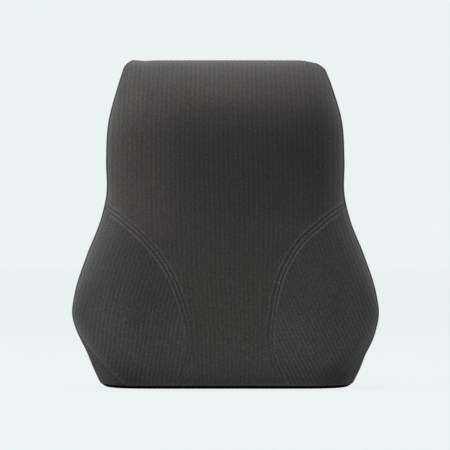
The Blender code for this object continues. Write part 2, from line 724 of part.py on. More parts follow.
def zip_pull(hole_y):
    """The tab that hangs on a pin through the slider's crown."""
    pivot = empty_at("zip_pull_origin", (SLIDER_X, hole_y, ZIP_Z))
    half = PULL_THICKNESS / 2
    tab = box("zip_pull_tab", (SLIDER_X + PULL_START, hole_y - half, ZIP_Z - PULL_WIDTH / 2),
              (SLIDER_X + PULL_LENGTH, hole_y + half, ZIP_Z + PULL_WIDTH / 2), 0.0004, 2)
    eye = box("pull_eye", (SLIDER_X + PULL_EYE[0], hole_y - 2 * half, ZIP_Z - PULL_EYE_HALF),
              (SLIDER_X + PULL_EYE[1], hole_y + 2 * half, ZIP_Z + PULL_EYE_HALF))
    pin = rod("pull_pin", (SLIDER_X, hole_y, ZIP_Z), PULL_PIN_RADIUS, 2 * (PULL_EYE_HALF + SINK), "Z", 12)
    finish(join(cut(tab, eye), pin), SLIDER_COLOR, 0.35, 0.8)
    hang_on(pivot, tab)


# ---------------------------------------------------------------- strap and buckle


def ribbon(name, route):
    """A flat strap whose thickness follows a route of (x, lift) points, smoothed into one curve."""
    route = np.array(route)
    along = np.concatenate([[0], np.cumsum(np.hypot(*np.diff(route, axis=0).T))])
    places = np.arange(len(route))
    at = np.interp(np.linspace(0, places[-1], 3 * places[-1] + 1), places, along)
    line = [[smooth_curve(np.column_stack([along, route[:, k]]), a) for k in (0, 1)] for a in at]
    edges = (-STRAP_WIDTH / 2, STRAP_WIDTH / 2)
    points = [(x, BACK_Y + lift, STRAP_Z + z) for x, lift in line for z in edges]
    faces = [(2 * i, 2 * i + 1, 2 * i + 3, 2 * i + 2) for i in range(len(line) - 1)]
    strap = mesh_object(name, points, faces)
    thick = strap.modifiers.new("thickness", "SOLIDIFY")
    thick.thickness = STRAP_THICKNESS
    thick.offset = 0
    thick.use_even_offset = True
    return finish(strap, WEBBING_COLOR, 0.85)


def straps():
    ribbon("strap_left", LEFT_ROUTE)
    ribbon("strap_right", RIGHT_ROUTE)


def strap_box(name, x, lift, half_width_z, bevel=0.0):
    low = (x[0], BACK_Y + lift[0], STRAP_Z - half_width_z)
    return box(name, low, (x[1], BACK_Y + lift[1], STRAP_Z + half_width_z), bevel, 3)


def buckle_female():
    """The socket: a pocket with a window in each side, and a bar that holds the left strap."""
    half, slot_half = BUCKLE_WIDTH / 2, STRAP_WIDTH / 2 + STRAP_PLAY
    low, high = BUCKLE_LIFT
    hollow = (low + BUCKLE_WALL, high - BUCKLE_WALL)
    shell = strap_box("buckle_female", FEMALE_X, BUCKLE_LIFT, half, 0.0016)
    pocket = strap_box("female_pocket", (FEMALE_POCKET_X, FEMALE_X[1] + OVERCUT), hollow, POCKET_HALF)
    windows = strap_box("female_windows", WINDOW_X, hollow, half + OVERCUT)
    slot = strap_box("female_strap_slot", FEMALE_SLOT_X, (low - OVERCUT, high + OVERCUT), slot_half)
    bar_x = (FEMALE_X[0] - OVERCUT, FEMALE_BAR_END)
    above, below = (BAR_LIFT[1], high + OVERCUT), (low - OVERCUT, BAR_LIFT[0])
    reliefs = [strap_box(f"female_bar_relief_{n}", bar_x, lift, slot_half)
               for n, lift in (("outer", above), ("inner", below))]
    finish(cut(shell, pocket, windows, slot, *reliefs), PLASTIC_COLOR, 0.4)


def buckle_male():
    """The plug's base: two bars for the strap, and the guide tongue between the two prongs."""
    half, slot_half = BUCKLE_WIDTH / 2, STRAP_WIDTH / 2 + STRAP_PLAY
    low, high = MALE_LIFT[0] - OVERCUT, MALE_LIFT[1] + OVERCUT
    base = strap_box("buckle_male", MALE_X, MALE_LIFT, half, 0.0010)
    tongue = strap_box("male_tongue", TONGUE_X, TONGUE_LIFT, TONGUE_HALF)
    slots = [strap_box(f"male_strap_slot_{n}", x, (low, high), slot_half) for n, x in MALE_SLOTS_X]
    bars_x = (MALE_BARS_START, MALE_X[1] + OVERCUT)
    reliefs = [strap_box(f"male_bar_relief_{n}", bars_x, lift, slot_half)
               for n, lift in (("outer", (BAR_LIFT[1], high)), ("inner", (low, BAR_LIFT[0])))]
    finish(cut(join(base, tongue), *slots, *reliefs), PLASTIC_COLOR, 0.4)


def buckle_prong(name, up):
    """A springy arm that turns at its root, with the pad that shows in the socket's window."""
    x, out = PRONG_PIVOT
    low, high = PRONG_LIFT
    place = (x, BACK_Y + (low + high) / 2, STRAP_Z + up * out)
    pivot = empty_at(name + "_origin", place)

    def bar(part, span_x, near, far, lift):
        sides = sorted((STRAP_Z + up * near, STRAP_Z + up * far))
        start = (span_x[0], BACK_Y + lift[0], sides[0])
        return box(part, start, (span_x[1], BACK_Y + lift[1], sides[1]), 0.0004, 1)

    thick = PRONG_THICKNESS / 2
    arm = bar(name, (PRONG_TIP_X, x), out - thick, out + thick, PRONG_LIFT)
    pad = bar(name + "_pad", PAD_X, out, PAD_OUT, (low + PAD_STEP, high - PAD_STEP))
    root = rod(name + "_root", place, thick, high - low - PAD_STEP, "Y", 16)
    finish(join(arm, pad, root), PLASTIC_COLOR, 0.4)
    hang_on(pivot, arm)


clear_scene()
PARTS = collection("lumbar_cushion")
CUTTERS = collection("cutters")
foam_core()
inner_liner()
topstitching(front_panels())
side_gussets()
back_panels()
bottom_panel()
care_label()
zip_half("upper", 1)
zip_half("lower", -1)
zip_bottom_stop()
zip_pull(zip_slider())
straps()
buckle_female()
buckle_male()
buckle_prong("buckle_prong_upper", 1)
buckle_prong("buckle_prong_lower", -1)
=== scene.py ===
"""The look of the lumbar support cushion: a ribbed charcoal knit cover with stitched seams over its
foam, the zip, the elastic strap and the buckle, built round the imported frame.

Frame: +Z is up, +X is to the right of someone who faces the front, and the front faces -Y. Metres.
"""

import math

import bpy
import numpy as np
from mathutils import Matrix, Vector


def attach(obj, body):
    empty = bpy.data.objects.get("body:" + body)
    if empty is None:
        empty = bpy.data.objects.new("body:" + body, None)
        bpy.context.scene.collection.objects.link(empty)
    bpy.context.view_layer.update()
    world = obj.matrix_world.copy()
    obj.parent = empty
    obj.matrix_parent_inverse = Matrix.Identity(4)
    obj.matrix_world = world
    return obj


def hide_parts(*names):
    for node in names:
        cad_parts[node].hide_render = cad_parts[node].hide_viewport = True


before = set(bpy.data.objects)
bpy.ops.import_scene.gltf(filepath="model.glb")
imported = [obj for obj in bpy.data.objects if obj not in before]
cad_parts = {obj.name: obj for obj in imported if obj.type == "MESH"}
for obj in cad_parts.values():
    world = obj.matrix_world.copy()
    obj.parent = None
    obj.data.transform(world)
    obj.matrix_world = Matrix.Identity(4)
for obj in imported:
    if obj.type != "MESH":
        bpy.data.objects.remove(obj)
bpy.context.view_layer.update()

# The cushion's outer form, as in the CAD source.
HEIGHT = 0.354
BACK_Y = 0.041
HALF_WIDTH = [(0.000, 0.1330), (0.032, 0.1480), (0.060, 0.1608), (0.078, 0.1650), (0.100, 0.1625),
              (0.142, 0.1494), (0.180, 0.1345), (0.207, 0.1278), (0.245, 0.1272), (0.285, 0.1248),
              (0.325, 0.1148), (0.354, 0.1065)]
CENTRE_DEPTH = [(0.000, 0.086), (0.045, 0.101), (0.095, 0.107), (0.150, 0.102), (0.200, 0.096),
                (0.240, 0.094), (0.270, 0.0935)]
ROLL_START = 0.270
ROLL_RISE = HEIGHT - ROLL_START
TOP_DEPTH = 0.014
SIDE_ROUNDNESS = 8.0
EQUATOR = 0.42
UPPER_CROWN = 0.012
WING_BULGE = 0.0055
WING_CENTRE = (0.105, 0.088)
WING_SPREAD = (0.036, 0.046)
FRONT_BASE_RADIUS = 0.014
BACK_RADIUS = 0.012
BASE_SIDE_RADIUS = 0.007
TOP_CORNER_RADIUS = 0.010
WING_SEAMS = {
    -1: [(-0.010, 0.0575), (0.0095, 0.0487), (0.0302, 0.0410), (0.0500, 0.0378), (0.0680, 0.0393),
         (0.0932, 0.0456), (0.1180, 0.0556), (0.1432, 0.0711), (0.1564, 0.0825), (0.1697, 0.0965),
         (0.1830, 0.1128), (0.1933, 0.1270), (0.2030, 0.1420)],
    1: [(-0.010, 0.0680), (0.0095, 0.0586), (0.0290, 0.0507), (0.0530, 0.0470), (0.0852, 0.0500),
        (0.1099, 0.0551), (0.1340, 0.0645), (0.1597, 0.0825), (0.1726, 0.0970), (0.1860, 0.1135),
        (0.1954, 0.1270), (0.2060, 0.1430)],
}
WING_SEAM_END = 0.2  # above where the wing seams meet the side seams
SIDE_SEAM_START = 0.185  # below where they meet: the centre panel has a side seam from there up
SEAM_INSET = [(0.000, 0.0320), (0.015, 0.0235), (0.030, 0.0145), (0.045, 0.0065), (0.056, 0.0030),
              (0.070, 0.0020), (0.120, 0.0020), (0.180, 0.0020), (0.354, 0.0020)]
BASE_SEAM_Z = 0.0041
TOP_SEAM_Z = 0.3489
ZIP_Z = 0.035
ZIP_SLOT_HALF = 0.011
ZIP_HALF_LENGTH = 0.125
STRAP_Z = 0.190
STRAP_WIDTH = 0.038
STRAP_LOW, STRAP_HIGH = STRAP_Z - STRAP_WIDTH / 2, STRAP_Z + STRAP_WIDTH / 2
STRAP_THICKNESS = 0.0014
STRAP_END_X = 0.1145


# ---------------------------------------------------------------- the form


def curve(points, at):
    """A cubic curve through (position, value) points, read at an array of positions."""
    xs, ys = np.array(points).T
    slopes = np.gradient(ys, xs)
    at = np.asarray(at, float)
    i = np.clip(np.searchsorted(xs, at) - 1, 0, len(xs) - 2)
    span = xs[i + 1] - xs[i]
    t = (at - xs[i]) / span
    rest = 1 - t
    ends = (1 + 2 * t) * rest ** 2 * ys[i] + t * t * (3 - 2 * t) * ys[i + 1]
    return ends + t * rest * span * (rest * slopes[i] - t * slopes[i + 1])


def smooth_step(value, low, high):
    t = np.clip((np.asarray(value, float) - low) / (high - low), 0, 1)
    return t * t * (3 - 2 * t)


def bump(value, centre, width):
    return np.exp(-((np.asarray(value, float) - centre) / width) ** 2)


def drawn_in(distance, radius):
    return radius - np.sqrt(radius ** 2 - np.maximum(radius - distance, 0.0) ** 2)


def run_lengths(points):
    """How far along a line of points each of them lies."""
    return np.append(0, np.cumsum(np.linalg.norm(np.diff(points, axis=0), axis=-1)))


def half_width(z):
    return curve(HALF_WIDTH, z) - drawn_in(z, BASE_SIDE_RADIUS) - drawn_in(HEIGHT - z, TOP_CORNER_RADIUS)


def back_y(z):
    return BACK_Y - drawn_in(z, BACK_RADIUS) - drawn_in(HEIGHT - z, BACK_RADIUS)


def front_y(x, z):
    climb = max(z - ROLL_START, 0.0) / ROLL_RISE
    roll = math.sqrt(max(1 - climb ** 2, 0.0))
    depth = TOP_DEPTH + (curve(CENTRE_DEPTH, min(z, ROLL_START)) - TOP_DEPTH) * roll
    depth = depth - drawn_in(z, FRONT_BASE_RADIUS)
    depth = depth - UPPER_CROWN * smooth_step(z, 0.12, 0.24) * roll * (x / half_width(z)) ** 2
    wing_x = (np.abs(x) - WING_CENTRE[0]) / WING_SPREAD[0]
    wing_z = (z - WING_CENTRE[1]) / WING_SPREAD[1]
    return BACK_Y - depth - WING_BULGE * np.exp(-(wing_x ** 2 + wing_z ** 2))


def seam_inset(z):
    return curve(SEAM_INSET, np.clip(z, 0, HEIGHT))


def side_edge(z):
    return half_width(z) - seam_inset(z)


def seam_x(z, side):
    line = WING_SEAMS[side]
    return side * curve(line, np.clip(z, line[0][0], line[-1][0]))


W_CORNER, W_BACK = 1.6, 2.6
W_STOPS = (0, 1, W_CORNER, W_BACK)


class Section:
    """The right half of the section at a height. w runs 0 at the front centre, 1 at the side seam,
    W_CORNER where the back corner begins and W_BACK at the back centre."""

    def __init__(self, z):
        half, back = float(half_width(z)), float(back_y(z))
        thickness = back - float(front_y(0.0, z))
        equator = back - EQUATOR * thickness
        shares = np.sin(np.linspace(0, math.pi / 2, 200))
        x = half * shares
        y = equator + (front_y(x, z) - equator) * np.sqrt(np.maximum(1 - shares ** SIDE_ROUNDNESS, 0))
        corner = min(BACK_RADIUS, 0.3 * thickness)
        side_y = np.linspace(equator, back - corner, 9)[1:]
        turn = np.linspace(0, math.pi / 2, 13)[1:]
        flat = np.linspace(half - corner, 0, 40)[1:]
        self.x = np.concatenate([x, np.full(8, half), half - corner * (1 - np.cos(turn)), flat])
        self.y = np.concatenate([y, side_y, back - corner * (1 - np.sin(turn)), np.full(39, back)])
        along = run_lengths(np.column_stack([self.x, self.y]))
        self.front_x, self.front_along = x, along[:200]
        self.seam = float(np.interp(half - seam_inset(z), x, self.front_along))
        self.corner = float(along[207])
        self.end = float(along[-1])
        self.w = np.interp(along, [0, self.seam, self.corner, self.end], W_STOPS)

    def at(self, w):
        return np.interp(w, self.w, self.x), np.interp(w, self.w, self.y)


def front_w(z_rows, x_rows):
    """w of points of the front, by the height and the x of each row of them."""
    rows = []
    for z, x in zip(z_rows, x_rows):
        section = Section(z)
        rows.append(np.sign(x) * np.interp(np.abs(x), section.front_x, section.front_along) / section.seam)
    return np.array(rows)


FRONT_COLUMNS, GUSSET_COLUMNS = 50, 24
HALF_RING = 2 * FRONT_COLUMNS + GUSSET_COLUMNS
RING = 2 * HALF_RING
COLUMN_STOPS = (0, FRONT_COLUMNS, FRONT_COLUMNS + GUSSET_COLUMNS, HALF_RING)
HALF_W = np.interp(np.arange(HALF_RING + 1), COLUMN_STOPS, W_STOPS)
RING_W = np.concatenate([HALF_W, HALF_W[-2:0:-1]])
ROW_STEP = 0.003
V_BODY = FRONT_BASE_RADIUS * math.pi / 2
V_ROLL = V_BODY + ROLL_START - FRONT_BASE_RADIUS
V_TOP = V_ROLL + ROLL_RISE * math.pi / 2
ROWS = int(round(V_TOP / ROW_STEP))


def height_of(v):
    """Height at the row parameter v, which runs up the front's own curve."""
    v = np.asarray(v, float)
    foot = FRONT_BASE_RADIUS * (1 - np.cos(np.clip(v, 0, V_BODY) / FRONT_BASE_RADIUS))
    roll = ROLL_START + ROLL_RISE * np.sin(np.clip((v - V_ROLL) / ROLL_RISE, 0, math.pi / 2))
    return np.where(v < V_BODY, foot, np.where(v < V_ROLL, v - V_BODY + FRONT_BASE_RADIUS, roll))


def row_of(z):
    """The row parameter at a height."""
    z = np.asarray(z, float)
    foot = FRONT_BASE_RADIUS * np.arccos(np.clip(1 - z / FRONT_BASE_RADIUS, -1, 1))
    body = z - FRONT_BASE_RADIUS + V_BODY
    roll = V_ROLL + ROLL_RISE * np.arcsin(np.clip((z - ROLL_START) / ROLL_RISE, 0, 1))
    return np.where(z < FRONT_BASE_RADIUS, foot, np.where(z < ROLL_START, body, roll))


def column_of(w):
    """The ring column at w, which goes on past the back centre and is negative on the left."""
    w = np.asarray(w, float)
    past_back = np.abs(w) > W_BACK
    folded = np.where(past_back, 2 * W_BACK - np.abs(w), np.abs(w))
    column = np.interp(folded, W_STOPS, COLUMN_STOPS)
    return np.sign(w) * np.where(past_back, RING - column, column)


def ring_points():
    rows = []
    for z in height_of(np.linspace(0, V_TOP, ROWS + 1)):
        x, y = Section(z).at(HALF_W)
        right = np.column_stack([x, y, np.full(len(x), z)])
        rows.append(np.concatenate([right, right[-2:0:-1] * (-1, 1, 1)]))
    return np.array(rows)


def sample(field, v, w):
    """A ring field read at (v, w) by Catmull-Rom."""
    row = np.clip(np.asarray(v, float) / V_TOP * ROWS, 0, ROWS)
    row, col = np.broadcast_arrays(row, column_of(w))

    def weights(t):
        return (0.5 * (-t + 2 * t * t - t ** 3), 0.5 * (2 - 5 * t * t + 3 * t ** 3),
                0.5 * (t + 4 * t * t - 3 * t ** 3), 0.5 * (-t * t + t ** 3))

    r0 = np.clip(np.floor(row).astype(int), 0, ROWS - 1)
    c0 = np.floor(col).astype(int)
    row_weights, col_weights = weights(row - r0), weights(col - c0)
    padded = np.concatenate([2 * field[:1] - field[1:2], field, 2 * field[-1:] - field[-2:-1]])
    total = 0
    for i, row_weight in enumerate(row_weights):
        for j, col_weight in enumerate(col_weights):
            total = total + (row_weight * col_weight)[..., None] * padded[r0 + i, (c0 - 1 + j) % RING]
    return total


def unit(vectors):
    return vectors / np.maximum(np.linalg.norm(vectors, axis=-1, keepdims=True), 1e-12)


def ring_normals(ring):
    up = np.gradient(ring, axis=0)
    round_ = (np.roll(ring, -1, axis=1) - np.roll(ring, 1, axis=1)) / 2
    return unit(np.cross(round_, up))


# ---------------------------------------------------------------- the foam's swell, by simulation


def new_mesh(name, points, faces):
    mesh = bpy.data.meshes.new(name)
    mesh.from_pydata(np.asarray(points).tolist(), [], faces)
    mesh.update()
    item = bpy.data.objects.new(name, mesh)
    bpy.context.scene.collection.objects.link(item)
    return item


def wall_faces(rows, ring):
    """The quads between rings of points."""
    return [
        (r * ring + c, r * ring + (c + 1) % ring, (r + 1) * ring + (c + 1) % ring, (r + 1) * ring + c)
        for r in range(rows - 1)
        for c in range(ring)
    ]


def ring_faces(rows, ring, quarter_start, quarter_end):
    """Faces of a closed form made of rings: its wall, its base and its narrow top."""
    top, half = (rows - 1) * ring, ring // 2
    strip = [
        (top + c % ring, top + (c + 1) % ring, top + (half - c - 1) % ring, top + (half - c) % ring)
        for c in range(-quarter_start, quarter_start)
    ]
    right = [top + c for c in range(quarter_start, quarter_end + 1)]
    left = [top + (ring - c) % ring for c in reversed(range(quarter_start, quarter_end + 1))]
    return wall_faces(rows, ring) + strip + [tuple(right), tuple(left), tuple(reversed(range(ring)))]


SWELL_PRESSURE = 4.0
SWELL_FRAMES = 20
SWELL_CAP = 0.0045
SWELL_STRIDE = 2  # the cloth has every other row and column of the ring


def seam_hold(points, w):
    """How firmly each point of the ring is held by a seam, from 0 to 1."""
    x, z = points[..., 0], points[..., 2]
    wing = np.maximum(bump(x, seam_x(z, -1), 0.005), bump(x, seam_x(z, 1), 0.005))
    wing = np.where((np.abs(w) < 1) & (z < WING_SEAM_END), wing, 0)
    side = bump(np.abs(w), 1.0, 0.07)
    foot = 1 - smooth_step(z, 0.004, 0.012)
    back = smooth_step(np.abs(w), 1.55, 1.7) * 0.9
    return np.clip(np.maximum.reduce([wing, side, foot, back]), 0, 1)


def held_cloth(item, hold):
    """Makes the item a cloth under pressure, held as firmly as hold says at each point."""
    group = item.vertex_groups.new(name="held")
    for i, amount in enumerate(hold):
        if amount > 0.02:
            group.add([i], float(amount), "REPLACE")
    cloth = item.modifiers.new("cloth", "CLOTH")
    settings = cloth.settings
    settings.quality = 6
    settings.mass = 0.3
    settings.use_pressure = True
    settings.uniform_pressure_force = SWELL_PRESSURE
    settings.tension_stiffness = settings.compression_stiffness = 12
    settings.shear_stiffness = 6
    settings.bending_stiffness = 0.4
    settings.vertex_group_mass = "held"
    settings.pin_stiffness = 1.0
    settings.effector_weights.gravity = 0
    cloth.point_cache.frame_end = SWELL_FRAMES


def swell(ring):
    """How far each ring point moves when the cover is blown up like cloth, held at its seams."""
    coarse = ring[::SWELL_STRIDE, ::SWELL_STRIDE]
    rows, count = coarse.shape[:2]
    item = new_mesh("swell", coarse.reshape(-1, 3),
                    ring_faces(rows, count, *(stop // SWELL_STRIDE for stop in COLUMN_STOPS[1:3])))
    held_cloth(item, seam_hold(coarse, np.broadcast_to(RING_W[::SWELL_STRIDE], (rows, count))).ravel())
    for frame_number in range(1, SWELL_FRAMES + 1):
        bpy.context.scene.frame_set(frame_number)
    done = item.evaluated_get(bpy.context.evaluated_depsgraph_get()).data
    places = np.zeros(len(done.vertices) * 3)
    done.vertices.foreach_get("co", places)
    moved = places.reshape(rows, count, 3) - coarse
    bpy.data.objects.remove(item, do_unlink=True)
    bpy.context.scene.frame_set(1)
    return refined(moved)


def refined(moved):
    """The cloth's movement, smoothed, capped and read at every row and column of the ring."""
    rows = len(moved)
    for _ in range(2):
        around = np.roll(moved, 1, 1) + np.roll(moved, -1, 1)
        above = np.concatenate([moved[1:], moved[-1:]]) + np.concatenate([moved[:1], moved[:-1]])
        moved = 0.5 * moved + 0.125 * (around + above)
    size = np.linalg.norm(moved, axis=-1, keepdims=True)
    moved *= np.minimum(1, SWELL_CAP / np.maximum(size, 1e-9))
    rows_at = np.linspace(0, rows - 1, ROWS + 1)
    low = np.clip(np.floor(rows_at).astype(int), 0, rows - 2)
    part = (rows_at - low)[:, None, None]
    tall = moved[low] * (1 - part) + moved[low + 1] * part
    wide = np.empty((ROWS + 1, RING, 3))
    wide[:, ::2] = tall
    wide[:, 1::2] = (tall + np.roll(tall, -1, 1)) / 2
    return wide


def settle(ring):
    """Small unevenness of the sewn cover: the top sits a little to the left, with one softer corner,
    and the right side is a little fuller."""
    x, z = ring[..., 0], ring[..., 2]
    right = smooth_step(x, 0.02, 0.12)
    left = smooth_step(-x, 0.02, 0.12)
    ring[..., 0] -= 0.0017 * (1 - right) * smooth_step(z, 0.16, 0.26)
    ring[..., 0] += right * (0.0012 * smooth_step(z, 0.17, 0.24) - 0.0010 * smooth_step(z, 0.29, 0.34))
    ring[..., 0] += right * (0.0014 * bump(z, 0.045, 0.020) + 0.0026 * (1 - smooth_step(z, 0.015, 0.040)))
    ring[..., 0] += left * 0.0018 * bump(z, 0.045, 0.020)
    ring[..., 2] -= 0.0036 * smooth_step(x, 0.080, 0.106) * smooth_step(z, 0.325, 0.352)
    ring[..., 2] += 0.0005 * (bump(x, -0.1, 0.006) - bump(x, -0.088, 0.008)) * smooth_step(z, 0.33, 0.352)
    return ring


FORM = ring_points()
SWELLING = swell(FORM)
# The swell shows on the front and dies out round the sides, so that the outline keeps its size.
FREE = np.where(RING_W > 1.45, 0.0, 1 - 0.8 * smooth_step(RING_W, 0.75, 1.0))
SKIN = settle(FORM + SWELLING * FREE[None, :, None])
SKIN_NORMALS = ring_normals(SKIN)


# ---------------------------------------------------------------- knit panels

RIB_DEPTH = 0.00018
RIB_WIDTH = 0.005  # of one rib along the knit's own width
# How much darker the rib valleys are painted than the crowns: painted shade between the ribs.
RIB_TONE = 0.65
WING_RIB_TONE = {-1: 0.95, 1: 1.35}
ROW_OFFSET = 0.0021  # each row of topstitching, to either side of its seam
ROW_WIDTH, STRIP_WIDTH, SEAM_LINE_WIDTH = 0.0008, 0.0009, 0.00025
SEAM_FIRM_FROM, SEAM_FIRM_TO = 0.060, 0.115  # heights between which a wing seam becomes firm
# Where a rib's columns lie across it, from one valley to the next.
RIB_PHASES = np.array([0.0, 0.10, 0.22, 0.36, 0.50, 0.64, 0.78, 0.90])
RIB_PHASES_COARSE = np.array([0.0, 0.13, 0.31, 0.50, 0.69, 0.87])
# HEM_TONE: the turned-in hem's darker tone, painted shade in the seams.
HEM_DEPTH, HEM_TONE = 0.0026, 0.05
BAND = 0.0085  # strip beside each seam whose columns follow the seam
BAND_COLUMNS = 13
ROW_STEP_UP = 0.00125  # between the rows of the front panels


def over(rows, grid):
    """Each row's value, repeated over the columns of a grid."""
    return np.repeat(rows[:, None], grid.shape[1], 1)


def rib_height(phase):
    """0 in the valley between two ribs, 1 on a rib's crown."""
    return 0.5 - 0.5 * np.cos(2 * math.pi * phase)


def wing_seam_relief(d, z):
    """How the cover rises and dips beside a wing seam: a raised strip between the two sunken rows of
    stitches, with a welt outside each row. d is the distance from the seam, positive on the wing."""
    firm = 0.35 + 0.65 * smooth_step(z, SEAM_FIRM_FROM, SEAM_FIRM_TO)
    rows = bump(np.abs(d), ROW_OFFSET, ROW_WIDTH)
    welts = bump(np.abs(d), 2 * ROW_OFFSET, 0.0010)
    rise = 0.00030 * bump(d, 0.0, STRIP_WIDTH) - 0.00042 * rows + 0.00034 * welts
    return firm * rise - 0.00030 * bump(d, 0.0, SEAM_LINE_WIDTH)


def wing_seam_painted_light(d, z):
    """Painted highlight on the raised strip and welts beside a wing seam, and painted shade in its sunken
    rows of stitches.
    """
    unevenness = 1 + 0.4 * np.sin(310 * z) * np.sin(1130 * z + 1)
    firm = (0.45 + 0.55 * smooth_step(z, SEAM_FIRM_FROM, SEAM_FIRM_TO)) * unevenness
    welts = bump(np.abs(d), 2 * ROW_OFFSET, STRIP_WIDTH) * (1 + 0.25 * np.sign(d))
    rows = bump(np.abs(d), ROW_OFFSET, 0.0007)
    return firm * (3.2 * bump(d, 0.0, STRIP_WIDTH) + 2.6 * welts - 1.2 * rows)


def side_seam_relief(d, z=HEIGHT):
    """How the cover dips at a plain seam. At the cushion's lower corners the seam is slack."""
    firm = 0.1 + 0.9 * smooth_step(z, 0.038, 0.060)
    return firm * (0.00008 * bump(np.abs(d), 0.0024, 0.0012) - 0.0004 * bump(d, 0, 0.0007))


def seam_lean(z, side):
    """How much longer the wing seam is than its height there."""
    reach = 0.0005
    return np.sqrt(1 + ((seam_x(z + reach, side) - seam_x(z - reach, side)) / (2 * reach)) ** 2)


def wing_distance(x, z, side):
    return (x - seam_x(z, side)) * side / seam_lean(z, side)


def grid_quads(ids):
    return np.stack([ids[:-1, :-1], ids[:-1, 1:], ids[1:, 1:], ids[1:, :-1]], -1).reshape(-1, 4)


def write_uv(mesh, across, along):
    """Gives the mesh a UV map, from two values at each point."""
    corner = np.zeros(len(mesh.loops), int)
    mesh.loops.foreach_get("vertex_index", corner)
    uv = np.column_stack([across.ravel(), along.ravel()])[corner]
    mesh.uv_layers.new(name="UVMap").data.foreach_set("uv", uv.astype(np.float32).ravel())


def panel_mesh(name, points, ids, across, along, tone):
    """A panel from a grid of points. Grid places with one id share a point."""
    quads = grid_quads(ids)
    low_same, high_same = quads[:, 0] == quads[:, 1], quads[:, 2] == quads[:, 3]
    full = quads[~low_same & ~high_same]
    flat = quads[low_same & ~high_same][:, 1:]
    peak = quads[~low_same & high_same][:, :3]
    corners = np.concatenate([full.ravel(), flat.ravel(), peak.ravel()])
    used, places = np.unique(corners, return_inverse=True)
    fours, threes = places[:full.size].reshape(-1, 4), places[full.size:].reshape(-1, 3)
    item = new_mesh(name, points.reshape(-1, 3)[used], fours.tolist() + threes.tolist())
    write_uv(item.data, across.ravel()[used], along.ravel()[used])
    shade = item.data.attributes.new("tone", "FLOAT", "POINT")
    shade.data.foreach_set("value", tone.ravel()[used].astype(np.float32))
    item.data.shade_smooth()
    return item


def columns_between(low, high, ribs, band):
    """For each row: places from low to high that follow the edges in a band and the ribs between them,
    with ids that join the columns that an edge has closed off."""
    share = np.linspace(0, 1, BAND_COLUMNS)
    left = low[:, None] + band[:, None] * share
    right = high[:, None] - band[:, None] * share[::-1]
    inner = np.clip(ribs, left[:, -1:], right[:, :1])
    places = np.concatenate([left, inner, right], 1)
    ids = np.arange(places.size).reshape(places.shape)
    first, last = BAND_COLUMNS, BAND_COLUMNS + inner.shape[1]
    core = np.where(inner <= left[:, -1:], ids[:, first - 1:first], ids[:, first:last])
    ids[:, first:last] = np.where(inner >= right[:, :1], ids[:, last:last + 1], core)
    return places, ids


def rib_columns(first, last, phases=RIB_PHASES):
    return (np.arange(first, last)[:, None] + phases).ravel()


# Painted light and shade by height: lighter over the fullest lower part, darker at the waist and the centre's
# foot, with a lighter band on the top roll.
CENTRE_PAINTED_LIGHT = [(0.000, -0.6), (0.007, 0.4), (0.015, 1.15), (0.030, 2.10), (0.050, 1.90), (0.100, 0.60),
                  (0.140, -0.05), (0.170, -0.45), (0.200, -0.80), (0.280, -0.70), (0.295, -0.40),
                  (0.310, 0.25), (0.328, 0.40), (0.340, 0.10), (0.354, 0.0)]
WING_PAINTED_LIGHT = [(0.000, 0.5), (0.015, 1.10), (0.030, 2.20), (0.050, 2.40), (0.067, 2.00), (0.085, 1.20),
                (0.100, 0.50), (0.120, -0.10), (0.140, -0.30), (0.200, -0.20), (0.354, 0.0)]
SIDE_SHADE_REACH = {-1: 0.048, 1: 0.030}  # how far in from each side seam the painted shade reaches


def painted_side_shade(d_side, z, side):
    """Painted shade towards the side seam, below the fullest part of a wing."""
    amount = 2.6 * (0.65 + 0.35 * smooth_step(z, 0.010, 0.040)) * (1 - smooth_step(z, 0.080, 0.135))
    return -amount * (1 - smooth_step(d_side, 0.0, SIDE_SHADE_REACH[side]))


# At the lower corners: the gussets' painted light and shade, the strength of their painted rib shade, and the
# painted shade in the seams.
CORNER_PAINTED_LIGHT = {-1: 0.2, 1: 1.4}
CORNER_RIBS = {-1: 5.0, 1: 0.5}
CORNER_SEAM = {-1: 0.6, 1: 0.7}


def corner_seam_tone(d, z):
    """Shade in the slack seams of the lower corners."""
    return bump(d, 0.0, 0.0009) * (1 - smooth_step(z, 0.040, 0.065))


def upper_side_painted_light(x, z):
    """Painted light towards the sides of the waist, and painted shade at the upper left corner."""
    sides = smooth_step(-x, 0.035, 0.080) + smooth_step(x, 0.100, 0.120)
    corner = smooth_step(-x, 0.098, 0.115) * smooth_step(z, 0.285, 0.320)
    return sides * smooth_step(z, 0.13, 0.20) * (1 - smooth_step(z, 0.29, 0.32)) - 1.5 * corner


def painted_relief_shade(rib, fade, relief, depth=RIB_TONE):
    """Tone of the yarn: painted shade between the ribs and in the sunken seams, and painted light on the
    raised seam welts.
    """
    seam = np.clip(relief / 0.0006, -0.9, 0.8) * np.where(relief < 0, 1.4, 0.5)
    return 0.5 + depth * fade * (rib - 0.5) + seam


def raise_skin(v, w, rise):
    base = sample(SKIN, v, w)
    normal = unit(sample(SKIN_NORMALS, v, w))
    return base + normal * rise[..., None]


def on_floor(points):
    points[..., 2] = np.maximum(points[..., 2], 0.0)
    return points


def front_rows(top, fine_top):
    """The rows of a front panel, which lie further apart above fine_top."""
    low, end = float(row_of(BASE_SEAM_Z)), float(row_of(top))
    fine = np.arange(low, float(row_of(min(fine_top, top))), ROW_STEP_UP)
    if top <= fine_top:
        return np.append(fine, end)
    return np.concatenate([fine, np.linspace(fine[-1] + ROW_STEP_UP, end, int((end - fine[-1]) / 0.0026))])


FOOT_SHIFT = 0.003  # the centre's ribs run this far to the right at the foot
CENTRE_PITCH = [(0.0, 0.00440), (0.04, 0.00452), (0.10, 0.00479), (0.18, 0.00515), (0.26, 0.00511),
                (0.354, 0.00496)]


